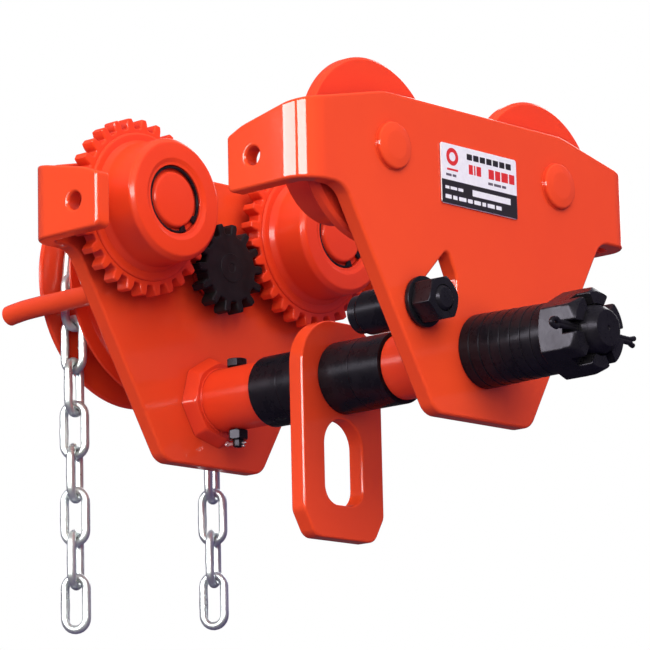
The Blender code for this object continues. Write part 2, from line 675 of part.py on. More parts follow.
# ---------------------------------------------------------------- hand chain wheel
CHAIN_PITCH = 25.0
CHAIN_WIRE_R = 2.5
CHAIN_X = -154.0
POCKETS = 7
LINK_STEP = math.pi / POCKETS     # angle one link takes up on the wheel
CHAIN_VERTEX_R = CHAIN_PITCH / (2 * math.sin(LINK_STEP / 2))
LINK_R = CHAIN_VERTEX_R * math.cos(LINK_STEP / 2)   # axis to a link's centre
HANDWHEEL_R = 71.0
HANDWHEEL_OUT = 168.0
HANDWHEEL_IN = 140.6
RIM_INSIDE_R = 62.0       # where the rims meet the web
WEB_HALF = 5.0            # half thickness
SLOT_HALF_GROOVE = 3.3    # half width of the slot for upright links
FLAT_FLOOR = LINK_R - CHAIN_WIRE_R - 0.9
SLOT_FLOOR = FLAT_FLOOR - 6.6
WHEEL_HOLES = 5
WHEEL_HOLE_R = 7.6
WHEEL_HOLES_R = 28.5      # circle the holes' centres lie on

# two rims, a floor for the flat links and a slot for the upright ones, web and hub
middle = -CHAIN_X
handwheel = turned(
    "hand_chain_wheel",
    [(HANDWHEEL_R - 0.8, HANDWHEEL_OUT), (HANDWHEEL_R, HANDWHEEL_OUT - 2.0),
     (59.0, middle + 10.6), (FLAT_FLOOR, middle + 10.2),
     (FLAT_FLOOR, middle + SLOT_HALF_GROOVE), (SLOT_FLOOR, middle + SLOT_HALF_GROOVE),
     (SLOT_FLOOR, middle - SLOT_HALF_GROOVE), (FLAT_FLOOR, middle - SLOT_HALF_GROOVE),
     (FLAT_FLOOR, middle - 10.2), (59.0, middle - 10.6),
     (HANDWHEEL_R, HANDWHEEL_IN + 2.0), (HANDWHEEL_R - 0.8, HANDWHEEL_IN),
     (RIM_INSIDE_R, HANDWHEEL_IN), (40.0, middle - WEB_HALF), (19.0, middle - WEB_HALF),
     (17.0, 136.0), (DRIVE_BORE_R, 136.0), (DRIVE_BORE_R, 169.8), (17.0, 169.8),
     (19.0, middle + WEB_HALF), (40.0, middle + WEB_HALF), (RIM_INSIDE_R, HANDWHEEL_OUT)],
    DRIVE_AT, RED, segments=28, side=-1)
holes = []
for k in range(WHEEL_HOLES):
    angle = math.radians(90 + 360 / WHEEL_HOLES * k)
    centre = (WHEEL_HOLES_R * math.cos(angle), PINION_Z + WHEEL_HOLES_R * math.sin(angle))
    holes.append(cylinder("wheel_hole", WHEEL_HOLE_R, (CHAIN_X - 20, CHAIN_X + 20), centre,
                          segments=10))
boolean(handwheel, joined("hand_wheel_holes", holes))

wheel_nut = hexagon("hand_wheel_nut", 24.0, (-178.6, -DRIVE_SHOULDER - GAP), DRIVE_AT, ZINC)
boolean(wheel_nut, cylinder("hand_wheel_nut_bore", DRIVE_END_R + GAP, (-185, -165), DRIVE_AT,
                            segments=20))
cotter("hand_wheel_cotter_pin", (DRIVE_PIN_X, 0, PINION_Z), radius=1.6, length=26.0, axis="Y",
       finish=ZINC, eye=0.9)

# ---------------------------------------------------------------- chain guides
GUIDE_R = 5.9
GUIDE_Y = 76.0
GUIDE_Z = 56.5
GUIDE_END = -188.0

# rods out from the geared plate, drooping a little at the free end
for end, y in (("front", -GUIDE_Y), ("rear", GUIDE_Y)):
    rod("chain_guide_" + end,
        [(-OUTER_SEAT, y, GUIDE_Z), (GUIDE_END + 24, y, GUIDE_Z),
         (GUIDE_END + 10, y, GUIDE_Z - 0.6), (GUIDE_END, y, GUIDE_Z - 2.0)],
        GUIDE_R, RED, resolution=3)

# ---------------------------------------------------------------- hand chain
CHAIN_HALF_W = 6.5        # half the distance between the two sides' centre lines
LINK_WIRE_R = CHAIN_WIRE_R + 0.35  # as modelled
OVER_LINKS = 7
FIRST_LINK = math.pi - math.radians(7.8)   # angle of the frontmost link on the wheel
FALL_LINKS = 8
FALL_TWIST = 8.0          # degrees from link to link
FALL_TWIST_MAX = 25.0
FALL_LIFT = 1.2           # keeps each fall's first link clear of the link that carries it


def link_points(centre, along, across):
    """Centre line of one link: two straight sides and two half-round ends."""
    reach = CHAIN_PITCH / 2 + CHAIN_WIRE_R + 0.2 - CHAIN_HALF_W
    points = []
    for sign in (1, -1):
        for i in range(5):
            angle = math.radians(45 * i)
            length = sign * (reach + CHAIN_HALF_W * math.sin(angle))
            width = sign * CHAIN_HALF_W * math.cos(angle)
            points.append([c + length * a + width * b
                           for c, a, b in zip(centre, along, across)])
    return points


def chain(name, places):
    """Neighbouring links are joined where they bear on each other, so the run is one solid."""
    links = [rod(f"{name}_link_{i}", link_points(*place), LINK_WIRE_R, resolution=0, cyclic=True)
             for i, place in enumerate(places)]
    odd = joined(name + "_upright_links", links[1::2])
    boolean(joined(name, links[0::2], ZINC), odd, "UNION")


def chain_over_wheel():
    places = []
    for k in range(OVER_LINKS):
        angle = FIRST_LINK - k * LINK_STEP
        cos, sin = math.cos(angle), math.sin(angle)
        centre = (CHAIN_X, LINK_R * cos, PINION_Z + LINK_R * sin)
        across = (1, 0, 0) if k % 2 == 0 else (0, cos, sin)
        places.append((centre, (0, -sin, cos), across))
    chain("chain_over_wheel", places)


def chain_fall(name, angle):
    """Links hanging from an angle on the wheel, twisting by degrees about the vertical."""
    y = CHAIN_VERTEX_R * math.cos(angle)
    top = PINION_Z + CHAIN_VERTEX_R * math.sin(angle) - CHAIN_PITCH / 2 + FALL_LIFT
    places = []
    for k in range(FALL_LINKS):
        twist = math.radians(min(FALL_TWIST_MAX, FALL_TWIST * k))
        cos, sin = math.cos(twist), math.sin(twist)
        across = (-sin, cos, 0) if k % 2 == 0 else (cos, sin, 0)
        places.append(((CHAIN_X, y, top - k * CHAIN_PITCH), (0, 0, 1), across))
    chain(name, places)


chain_over_wheel()
chain_fall("chain_fall_front", FIRST_LINK + LINK_STEP / 2)
chain_fall("chain_fall_rear", FIRST_LINK - (OVER_LINKS - 0.5) * LINK_STEP)

# ---------------------------------------------------------------- anti-tilt roller
ROLLER_R = 12.0
ROLLER_X = (68.0, 95.8)
ROLLER_CHAMFER = 1.2
ROLLER_BORE_R = ROLLER_BOLT_R + GAP
BOLT_HEAD_R = 10.5
BOLT_X = (62.0, 124.4)
WASHER_R = 13.8
WASHER_OUT = OUTER_SEAT + 2.8

low, high = ROLLER_X
turned("tilt_roller",
       [(ROLLER_R, high - ROLLER_CHAMFER), (ROLLER_R, low + ROLLER_CHAMFER),
        (ROLLER_R - ROLLER_CHAMFER, low), (ROLLER_BORE_R, low), (ROLLER_BORE_R, high),
        (ROLLER_R - ROLLER_CHAMFER, high)], ROLLER_AT, BLACK, segments=22)
turned("roller_bolt",
       [(0, BOLT_X[1]), (ROLLER_BOLT_R - 1, BOLT_X[1]), (ROLLER_BOLT_R, BOLT_X[1] - 1),
        (ROLLER_BOLT_R, low - GAP), (BOLT_HEAD_R, low - GAP), (BOLT_HEAD_R, BOLT_X[0]),
        (0, BOLT_X[0])], ROLLER_AT, BLACK, segments=16)
ring("roller_washer", (OUTER_SEAT, WASHER_OUT), WASHER_R, ROLLER_BORE_R, ROLLER_AT)
roller_nut = hexagon("roller_nut", 22.0, (WASHER_OUT + GAP, PLATE_OUT + 16.2), ROLLER_AT, BLACK,
                     turn=math.radians(15))
boolean(roller_nut, cylinder("roller_nut_bore", ROLLER_BORE_R, (100, 130), ROLLER_AT,
                             segments=20))

# ---------------------------------------------------------------- rating plate, plain side
RATING_T = 0.7
box("rating_plate", (OUTER_SEAT, -30.8, 77.7), (OUTER_SEAT + RATING_T, 32.3, 111.2), PALE)

# ---------------------------------------------------------------- origin to the box centre
for obj in list(PARTS.objects) + list(CUTTERS.objects):
    obj.location -= Vector(BOX_CENTRE) * MM
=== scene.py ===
"""Looks for the hand-chain geared beam trolley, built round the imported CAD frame.

Every piece is drawn in millimetres from the point on the suspension shaft's axis midway
between the two side plates: x along the shaft towards the castle nut, y along the beam,
z up. The shaft's own CAD box places that point in the frame. The plain side plate and
its wheels lie at +x, the geared ones at -x; "front" is -y and "rear" is +y.
"""
import math
import random

import bpy
import bmesh
from mathutils import Matrix, Vector
from mathutils.geometry import tessellate_polygon


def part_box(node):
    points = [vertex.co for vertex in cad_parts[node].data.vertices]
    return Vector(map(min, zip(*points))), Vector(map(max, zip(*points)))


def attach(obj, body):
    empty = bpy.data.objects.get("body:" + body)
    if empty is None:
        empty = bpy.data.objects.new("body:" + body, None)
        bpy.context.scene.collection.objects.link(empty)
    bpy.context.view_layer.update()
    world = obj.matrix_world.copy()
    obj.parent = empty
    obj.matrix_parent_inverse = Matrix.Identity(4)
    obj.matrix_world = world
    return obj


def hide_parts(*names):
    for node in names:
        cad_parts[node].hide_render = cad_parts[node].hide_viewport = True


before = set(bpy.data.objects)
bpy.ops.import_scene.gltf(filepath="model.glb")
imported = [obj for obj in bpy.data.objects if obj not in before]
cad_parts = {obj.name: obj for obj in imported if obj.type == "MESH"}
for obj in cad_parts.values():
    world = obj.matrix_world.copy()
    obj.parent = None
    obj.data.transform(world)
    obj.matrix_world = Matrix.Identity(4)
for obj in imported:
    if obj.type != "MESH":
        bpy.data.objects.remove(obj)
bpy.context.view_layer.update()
scene = bpy.context.scene
random.seed(7)

MM = 0.001
SEGMENTS = 128      # round the large turned bodies
SHAFT_END = 193.0                         # x of the shaft's +x end

shaft_low, shaft_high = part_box("suspension_shaft")
SHIFT = Vector((shaft_high.x - SHAFT_END * MM, (shaft_low.y + shaft_high.y) / 2,
                (shaft_low.z + shaft_high.z) / 2))


# ======================================================================== outlines
def edge_normal(start, end):
    """The normal on the right hand of an edge."""
    along = (end - start).normalized()
    return Vector((along.y, -along.x))


def contour(points, rounds=None, closed=True, steps=4, sharp=38.0):
    """A 2D outline as [(point, normal before, normal after)], each corner rounded by its radius.

    Normals point to the right of the direction of travel: outward from an anticlockwise
    outline, into the hole from a clockwise one. steps are per quarter turn, and an
    unrounded corner turning by less than sharp degrees is shaded smooth."""
    corners = [Vector(point) for point in points]
    count = len(corners)
    rounds = rounds or [0] * count
    out = []
    for i, (here, radius) in enumerate(zip(corners, rounds)):
        before, after = corners[i - 1], corners[(i + 1) % count]
        normal_in, normal_out = edge_normal(before, here), edge_normal(here, after)
        if not closed and i in (0, count - 1):
            normal = normal_out if i == 0 else normal_in
            out.append((here, normal, normal))
            continue
        turn = normal_in.angle(normal_out, 0)
        if radius > 0 and turn > 0.02:
            back, ahead = before - here, after - here
            limit = 0.49 * min(back.length, ahead.length)
            half = (math.pi - turn) / 2
            reach = radius / math.tan(half)
            if reach > limit:
                radius = radius * limit / reach
            inward = (back.normalized() + ahead.normalized()).normalized()
            centre = here + inward * (radius / math.sin(half))
            cross = normal_in.x * normal_out.y - normal_in.y * normal_out.x
            bend = 1 if cross > 0 else -1
            pieces = max(2, int(math.ceil(steps * turn / (math.pi / 2))))
            for k in range(pieces + 1):
                angle = turn * k / pieces * bend
                cos, sin = math.cos(angle), math.sin(angle)
                normal = Vector((normal_in.x * cos - normal_in.y * sin,
                                 normal_in.x * sin + normal_in.y * cos))
                out.append((centre + normal * (radius * bend), normal, normal))
        elif math.degrees(turn) < sharp:
            normal = (normal_in + normal_out).normalized()
            out.append((here, normal, normal))
        else:
            out.append((here, normal_in, normal_out))
    return out


def polar(radius, degrees, y=0, z=0):
    angle = math.radians(degrees)
    return y + radius * math.cos(angle), z + radius * math.sin(angle)


def arc(y, z, radius, start, end, steps):
    """Points from start to end degrees, both included."""
    return [polar(radius, start + (end - start) * i / steps, y, z) for i in range(steps + 1)]


def circle(y, z, radius, steps, hole=False):
    points = arc(y, z, radius, 0, 360, steps)[:-1]
    return contour(points[::-1] if hole else points, sharp=60)


def soft_min(lengths, soft):
    """The least of the lengths, blended over about soft where two come close."""
    return -soft * math.log(sum(math.exp(-length / soft) for length in lengths))


# ======================================================================== mesh building
# Where a nut's outline is sampled across one face, and how deep in from each end
FACE_SHARES = (0.0, 0.012, 0.03, 0.06, 0.12, 0.22, 0.36, 0.5, 0.64, 0.78, 0.88, 0.94, 0.97, 0.988)
END_DEPTHS = (0.0, 0.1, 0.25, 0.45, 0.7, 1.0, 1.4, 2.0)


class Shape:
    """Faces with shared vertices and a normal of their own at every corner.

    The methods that add a body return the shape, so that bodies can be chained. at is the
    (y, z) of a body's axis along x, and side=-1 mirrors the body to -x."""

    def __init__(self):
        self.verts, self.faces, self.normals, self.slots = [], [], [], []
        self.index = {}

    def vert(self, point):
        key = tuple(round(value, 4) for value in point)
        if key not in self.index:
            self.index[key] = len(self.verts)
            self.verts.append(key)
        return self.index[key]

    def face(self, points, normals, slot=0):
        ids, kept = [], []
        for point, normal in zip(points, normals):
            i = self.vert(point)
            if i not in ids:
                ids.append(i)
                kept.append(normal)
        if len(ids) >= 3:
            self.faces.append(ids)
            self.normals.extend(kept)
            self.slots.append(slot)

    def grid(self, rows, normals, closed=False, flip=False):
        """Quads between rows of points; closed joins the last row to the first."""
        count = len(rows)
        for i in range(count if closed else count - 1):
            k = (i + 1) % count
            for j in range(len(rows[i]) - 1):
                corners = [(i, j), (k, j), (k, j + 1), (i, j + 1)]
                if flip:
                    corners.reverse()
                self.face([rows[row][column] for row, column in corners],
                          [normals[row][column] for row, column in corners])

    def mesh(self, name, materials):
        mesh = bpy.data.meshes.new(name)
        verts = [(x * MM + SHIFT.x, y * MM + SHIFT.y, z * MM + SHIFT.z) for x, y, z in self.verts]
        mesh.from_pydata(verts, [], self.faces)
        mesh.polygons.foreach_set("use_smooth", [True] * len(mesh.polygons))
        mesh.polygons.foreach_set("material_index", self.slots)
        for material in materials:
            mesh.materials.append(material)
        mesh.update()
        mesh.normals_split_custom_set([Vector(normal).normalized()[:] for normal in self.normals])
        return mesh

    def lathe(self, profile, rounds, at=(0, 0), segments=SEGMENTS, side=1, closed=True, steps=4):
        """A body turned about x. profile is [(radius, x)]; rounds is one radius or one a corner."""
        points = [(x, radius) for radius, x in profile]
        if not isinstance(rounds, list):
            rounds = [rounds] * len(points)
        area = sum(points[i - 1][0] * points[i][1] - points[i][0] * points[i - 1][1]
                   for i in range(len(points)))
        if area < 0:
            points, rounds = points[::-1], rounds[::-1]
        line = contour(points, rounds, closed=closed, steps=steps)
        angles = [2 * math.pi * i / segments for i in range(segments + 1)]
        turns = [(math.cos(angle), math.sin(angle)) for angle in angles]
        count = len(line)
        for i in range(count if closed else count - 1):
            start, _, start_normal = line[i]
            end, end_normal, _ = line[(i + 1) % count]
            if start.y < 1e-4 and end.y < 1e-4:
                continue
            for here, ahead in zip(turns, turns[1:]):
                quad, normals = [], []
                for point, normal, (cos, sin) in (
                        (start, start_normal, here), (start, start_normal, ahead),
                        (end, end_normal, ahead), (end, end_normal, here)):
                    radius = max(point.y, 0)
                    quad.append((side * point.x, at[0] + radius * cos, at[1] + radius * sin))
                    normals.append((side * normal.x, normal.y * cos, normal.y * sin))
                if side > 0:
                    quad.reverse()
                    normals.reverse()
                self.face(quad, normals)
        return self

    def ring(self, outer, bore, x_start, x_end, rounds, **options):
        """A plain turned ring between two stations along x."""
        profile = [(outer, x_start), (outer, x_end), (bore, x_end), (bore, x_start)]
        return self.lathe(profile, rounds, **options)

    def prism(self, loops, x0, x1, bevel, steps, at=(0, 0), side=1, place=None, cuts=(), slot=0):
        """A flat body between x0 and x1 with rounded edges. loops are contours in (y, z).

        place(depth, along, z, normal) maps a point and its normal into space, and both flat
        faces are cut at each distance in cuts, so that a bent plate follows its bend."""
        if place is None:
            def place(depth, along, z, normal):
                return (side * depth, at[0] + along, at[1] + z), (side * normal[0], *normal[1:])

        def emit(points, normals):
            mapped = [place(*point, normal) for point, normal in zip(points, normals)]
            if side < 0:
                mapped.reverse()
            self.face([pair[0] for pair in mapped], [pair[1] for pair in mapped], slot)

        caps = ([], [])
        for loop in loops:
            count = len(loop)
            mitres = []
            for i in range(count):
                here = loop[i][0]
                normal_in = edge_normal(loop[i - 1][0], here)
                normal_out = edge_normal(here, loop[(i + 1) % count][0])
                mitres.append((normal_in + normal_out) / max(0.3, 1 + normal_in.dot(normal_out)))
            rings = []      # (points, x of the normal, share of the outline's own normal)
            for sign in (-1, 1):
                for k in range(steps, -1, -1) if sign < 0 else range(steps + 1):
                    lean = math.pi / 2 * k / steps
                    depth = bevel * (1 - math.sin(lean))
                    x = x0 + depth if sign < 0 else x1 - depth
                    inset = bevel * (1 - math.cos(lean))
                    moved = [loop[i][0] - mitres[i] * inset for i in range(count)]
                    points = [(x, corner.x, corner.y) for corner in moved]
                    rings.append((points, sign * math.sin(lean), math.cos(lean)))
            for near, far in zip(rings, rings[1:]):
                for i in range(count):
                    j = (i + 1) % count
                    here, ahead = loop[i][2], loop[j][1]
                    corners = ((near, i, here), (near, j, ahead), (far, j, ahead), (far, i, here))
                    emit([ring[0][k] for ring, k, _ in corners],
                         [(ring[1], normal.x * ring[2], normal.y * ring[2])
                          for ring, _, normal in corners])
            for cap, ring in zip(caps, (rings[0], rings[-1])):
                cap.append([Vector((along, z, 0)) for _, along, z in ring[0]])
        for polygons, x, sign in ((caps[0], x0, -1.0), (caps[1], x1, 1.0)):
            bm = bmesh.new()
            made = [bm.verts.new(point) for polygon in polygons for point in polygon]
            for triangle in tessellate_polygon(polygons):
                if len(set(triangle)) == 3:
                    try:
                        bm.faces.new([made[i] for i in triangle])
                    except ValueError:      # the tessellation may name a triangle twice
                        pass
            for cut in cuts:
                bmesh.ops.bisect_plane(bm, geom=bm.verts[:] + bm.edges[:] + bm.faces[:],
                                       plane_co=(cut, 0, 0), plane_no=(1, 0, 0))
            bm.normal_update()
            for face in bm.faces:
                points = [(x, vert.co.x, vert.co.y) for vert in face.verts]
                if (face.normal.z > 0) != (sign > 0):
                    points.reverse()
                emit(points, [(sign, 0, 0)] * len(points))
            bm.free()
        return self

    def tube(self, path, radius, segments=12, closed=False, cap=0.6, swell=None):
        """A round wire along a path; open ends bulge by the share cap of the radius.

        swell(share of the path) scales the radius."""
        points = [Vector(point) for point in path]
        count = len(points)
        tangents = []
        for i in range(count):
            if closed:
                step = points[(i + 1) % count] - points[i - 1]
            else:
                step = points[min(i + 1, count - 1)] - points[max(i - 1, 0)]
            tangents.append(step.normalized())
        frames = [tangents[0].orthogonal().normalized()]
        for before, tangent in zip(tangents, tangents[1:]):
            frames.append((before.rotation_difference(tangent) @ frames[-1]).normalized())
        if closed:
            # spread the twist left at the joint evenly along the loop
            back = (tangents[-1].rotation_difference(tangents[0]) @ frames[-1]).normalized()
            twist = back.angle(frames[0], 0)
            if back.cross(frames[0]).dot(tangents[0]) < 0:
                twist = -twist
            frames = [Matrix.Rotation(twist * i / count, 3, tangents[i]) @ frame
                      for i, frame in enumerate(frames)]
        rows, normals = [], []

        def add_ring(centre, tangent, frame, ring_radius, tilt=0.0):
            binormal = tangent.cross(frame)
            row, row_normals = [], []
            for k in range(segments + 1):
                angle = 2 * math.pi * k / segments
                out = frame * math.cos(angle) + binormal * math.sin(angle)
                row.append(tuple(centre + out * ring_radius))
                row_normals.append(tuple(out * math.cos(tilt) + tangent * math.sin(tilt)))
            rows.append(row)
            normals.append(row_normals)

        def add_end(i, tilts):
            for tilt in tilts:
                add_ring(points[i] + tangents[i] * (radius * cap * math.sin(tilt)), tangents[i],
                         frames[i], max(0.001, radii[i] * math.cos(tilt)), tilt)

        radii = [radius * swell(i / count) if swell else radius for i in range(count)]
        if not closed:
            add_end(0, [-math.pi / 2 * (1 - k / 3) for k in range(3)])
        for i in range(count):
            add_ring(points[i], tangents[i], frames[i], radii[i])
        if not closed:
            add_end(-1, [math.pi / 2 * k / 3 for k in range(1, 4)])
        self.grid(rows, normals, closed=closed, flip=True)
        return self

    def nut(self, sides, apothem, x0, x1, bore, chamfer, soft, at=(0, 0), upright=False,
            turn=0.0, taper=1.0):
        """A chamfered nut or bolt head with edges softened by about soft.

        Its axis runs along x through (y, z) = at, or if upright along z through (x, y) = at,
        when x0 and x1 are heights. chamfer is (at x0, at x1); taper scales the x1 end."""
        corner = apothem / math.cos(math.pi / sides)
        span = 2 * math.pi / sides
        angles = [2 * math.pi * k / sides + span * share
                  for k in range(sides) for share in FACE_SHARES]
        angles.append(2 * math.pi)
        length = x1 - x0
        depths = [depth for depth in END_DEPTHS if depth < length / 2]
        xs = sorted({round(x0 + depth, 4) for depth in depths}
                    | {round(x1 - depth, 4) for depth in depths})

        def radius(angle, x):
            base = apothem * (1 + (taper - 1) * (x - x0) / length)
            limits = []
            for k in range(sides):
                cos = math.cos(angle - 2 * math.pi * (k + 0.5) / sides)
                if cos > 0.25:
                    limits.append(base / cos)
            for size, depth in zip(chamfer, (x - x0, x1 - x)):
                if size > 0:
                    limits.append(corner * taper - size * 1.15 + depth * 1.75)
            return soft_min(limits, soft)

        def spot(x, distance, angle):
            across = at[0] + distance * math.cos(angle + turn)
            over = at[1] + distance * math.sin(angle + turn)
            return (across, over, x) if upright else (x, across, over)

        def surface(x, angle, extra=0):
            return Vector(spot(x, radius(angle, x) + extra, angle))

        def normal_at(x, angle):
            round_step = surface(x, angle + 1e-3) - surface(x, angle - 1e-3)
            long_step = surface(x + 0.01, angle) - surface(x - 0.01, angle)
            normal = round_step.cross(long_step).normalized()
            outward = surface(x, angle, 1) - surface(x, angle)
            return tuple(-normal if normal.dot(outward) < 0 else normal)

        self.grid([[spot(x, radius(angle, x), angle) for x in xs] for angle in angles],
                  [[normal_at(x, angle) for x in xs] for angle in angles])
        ends = (xs[0], xs[-1])
        for x, sign in zip(ends, (-1, 1)):
            normal = (0, 0, sign) if upright else (sign, 0, 0)
            for here, ahead in zip(angles, angles[1:]):
                quad = [spot(x, bore, here), spot(x, radius(here, x), here),
                        spot(x, radius(ahead, x), ahead), spot(x, bore, ahead)]
                if sign < 0:
                    quad.reverse()
                self.face(quad, [normal] * 4)
        if bore > 0:
            wall = [[spot(x, bore, angle) for x in ends] for angle in angles]
            inward = [[tuple(Vector(spot(x, bore - 1, angle)) - Vector(spot(x, bore, angle)))
                       for x in ends] for angle in angles]
            self.grid(wall, inward, flip=True)
        return self

    def bead(self, centre, ring_radius, radius, ripples=0, steps=240):
        """A weld bead round an x axis: a torus with the scales of a hand-laid bead."""
        axis = Vector((1, 0, 0))
        first = axis.orthogonal().normalized()
        second = axis.cross(first)
        middle = Vector(centre)
        section = [2 * math.pi * k / 12 for k in range(13)]
        rows, normals = [], []
        for i in range(steps + 1):
            angle = 2 * math.pi * i / steps
            wave = (i / steps * ripples) % 1.0
            thick = radius * (0.88 + 0.16 * wave + 0.05 * math.sin(23 * angle + 1.3))
            reach = ring_radius + 0.12 * radius * math.sin(7 * angle + 0.6)
            out = first * math.cos(angle) + second * math.sin(angle)
            rows.append([tuple(middle + out * (reach + thick * math.cos(around))
                               + axis * (thick * math.sin(around))) for around in section])
            normals.append([tuple(out * math.cos(around) + axis * math.sin(around))
                            for around in section])
        self.grid(rows, normals)
        return self


def put(piece, shape, finish, body="root", replaces=True):
    """Makes the object for a piece; it rides its body and stands for its CAD node."""
    materials, slot = finish
    name = piece + "_look"
    obj = bpy.data.objects.new(name, shape.mesh(name, materials))
    scene.collection.objects.link(obj)
    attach(obj, body)
    if replaces:
        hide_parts(piece)


# ======================================================================== materials
def fill(node, values):
    for name, value in values.items():
        node.inputs[name].default_value = value


class Look:
    """A Principled material, with short ways to drive it from noise."""

    def __init__(self, name):
        self.material = bpy.data.materials.new(name)
        self.material.use_nodes = True
        self.nodes = self.material.node_tree.nodes
        self.link = self.material.node_tree.links.new
        self.shader = self.nodes["Principled BSDF"]

    def noise(self, scale, detail=3.0, roughness=0.5, stretch=None):
        coord = self.nodes.new("ShaderNodeTexCoord").outputs["Object"]
        texture = self.nodes.new("ShaderNodeTexNoise")
        fill(texture, {"Scale": scale, "Detail": detail, "Roughness": roughness})
        if stretch:
            mapping = self.nodes.new("ShaderNodeMapping")
            fill(mapping, {"Scale": stretch})
            self.link(coord, mapping.inputs["Vector"])
            coord = mapping.outputs["Vector"]
        self.link(coord, texture.inputs["Vector"])
        return texture.outputs["Fac"]

    def ramp(self, source, stops):
        """Colours a value; stops are two (position, colour)."""
        node = self.nodes.new("ShaderNodeValToRGB")
        for element, (position, colour) in zip(node.color_ramp.elements, stops):
            element.position = position
            element.color = (*colour, 1)
        self.link(source, node.inputs["Fac"])
        return node.outputs["Color"]

    def spread(self, source, low, high, source_low=0.3, source_high=0.7):
        """Maps a value's usual range to low..high."""
        node = self.nodes.new("ShaderNodeMapRange")
        fill(node, {"From Min": source_low, "From Max": source_high,
                    "To Min": low, "To Max": high})
        self.link(source, node.inputs["Value"])
        return node.outputs["Result"]

    def colour(self, source, stops):
        self.link(self.ramp(source, stops), self.shader.inputs["Base Color"])

    def roughness(self, source, low, high):
        self.link(self.spread(source, low, high), self.shader.inputs["Roughness"])

    def bump(self, heights):
        """Lays bumps one on another; heights are (source, strength, distance in metres)."""
        normal = None
        for source, strength, distance in heights:
            node = self.nodes.new("ShaderNodeBump")
            fill(node, {"Strength": strength, "Distance": distance})
            self.link(source, node.inputs["Height"])
            if normal:
                self.link(normal, node.inputs["Normal"])
            normal = node.outputs["Normal"]
        self.link(normal, self.shader.inputs["Normal"])
        return normal


def gloss_paint(name, light, deep, roughness=0.38, coat=0.9, cast=0.0, gloss=0.05):
    """Sprayed gloss enamel: orange peel, slow colour drift, and painted crimson shade in corners
    and recesses, taken from ambient occlusion.

    cast is the strength of the sandy grain, gloss the roughness of the clear coat."""
    look = Look(name)
    slow = look.noise(scale=14.0, detail=3.0, roughness=0.55)
    fine = look.noise(scale=420.0, detail=2.0, roughness=0.45)
    peel = look.noise(scale=900.0, detail=1.5, roughness=0.4)
    base = look.ramp(slow, [(0.34, deep), (0.66, light)])
    # painted shade: where ambient occlusion finds corners and recesses, the base colour is
    # multiplied towards crimson
    occlusion = look.nodes.new("ShaderNodeAmbientOcclusion")
    fill(occlusion, {"Distance": 0.014})
    occlusion.samples = 6
    painted_shade_mix = look.nodes.new("ShaderNodeMix")
    painted_shade_mix.data_type = "RGBA"
    painted_shade_mix.blend_type = "MULTIPLY"
    painted_shade_share = look.spread(occlusion.outputs["AO"], low=0.85, high=0.0,
                         source_low=0.2, source_high=0.9)
    look.link(painted_shade_share, painted_shade_mix.inputs["Factor"])
    look.link(base, painted_shade_mix.inputs["A"])
    fill(painted_shade_mix, {"B": (0.55, 0.32, 0.85, 1)})
    look.link(painted_shade_mix.outputs["Result"], look.shader.inputs["Base Color"])
    look.roughness(fine, low=roughness - 0.05, high=roughness + 0.07)
    fill(look.shader, {"Coat Weight": coat, "Coat Roughness": gloss, "Coat IOR": 1.5,
                       "Specular IOR Level": 0.0})
    heights = [(peel, 0.05, 0.0002), (slow, 0.02 if cast else 0.05, 0.002)]
    if cast:
        sand = look.noise(scale=260.0, detail=4.0, roughness=0.6)
        heights.append((sand, cast, 0.0006))
    look.link(look.bump(heights), look.shader.inputs["Coat Normal"])
    return look.material


def dark_steel(name, tone=(0.008, 0.008, 0.010), worn=(0.013, 0.013, 0.015), roughness=0.27,
               turned=False):
    """Blacked and oiled steel: mottled oxide, and faint turning marks if turned."""
    look = Look(name)
    blotch = look.noise(scale=120.0, detail=5.0, roughness=0.6)
    grain = look.noise(scale=700.0, detail=3.0, roughness=0.5)
    look.colour(blotch, [(0.35, tone), (0.72, worn)])
    look.roughness(blotch, low=roughness - 0.03, high=roughness + 0.06)
    fill(look.shader, {
        "Metallic": 0.0,
        "Specular IOR Level": 0.12 if turned else 0.22,
        "Specular Tint": (0.90, 0.84, 1.0, 1),
        "Coat Weight": 0.0,
        "Coat Roughness": 0.28,
        "Coat Tint": (0.92, 0.88, 1.0, 1),
    })
    heights = [(grain, 0.06, 0.0002), (blotch, 0.03, 0.0005)]
    if turned:
        marks = look.noise(scale=1.0, detail=2.0, roughness=0.5, stretch=(3500.0, 40.0, 40.0))
        heights.append((marks, 0.06, 0.0001))
    look.bump(heights)
    return look.material


def plated(name, tone, roughness=0.30, metallic=1.0):
    """Bright plated steel: slight mottling and small dents."""
    look = Look(name)
    cloud = look.noise(scale=60.0, detail=4.0, roughness=0.55)
    dents = look.noise(scale=330.0, detail=2.0, roughness=0.5)
    look.colour(cloud, [(0.32, tuple(part * 0.80 for part in tone)), (0.62, tone)])
    fill(look.shader, {"Metallic": metallic})
    look.roughness(cloud, low=roughness - 0.05, high=roughness + 0.12)
    look.bump([(dents, 0.22, 0.0003)])
    return look.material


def printed(name, colour, roughness=0.35):
    """Screen-printed ink or lacquer, slightly uneven."""
    look = Look(name)
    ink = look.noise(scale=500.0, detail=3.0, roughness=0.5)
    look.colour(ink, [(0.3, tuple(part * 0.93 for part in colour)), (0.7, colour)])
    look.roughness(ink, low=roughness - 0.04, high=roughness + 0.06)
    look.bump([(ink, 0.05, 0.0001)])
    return look.material


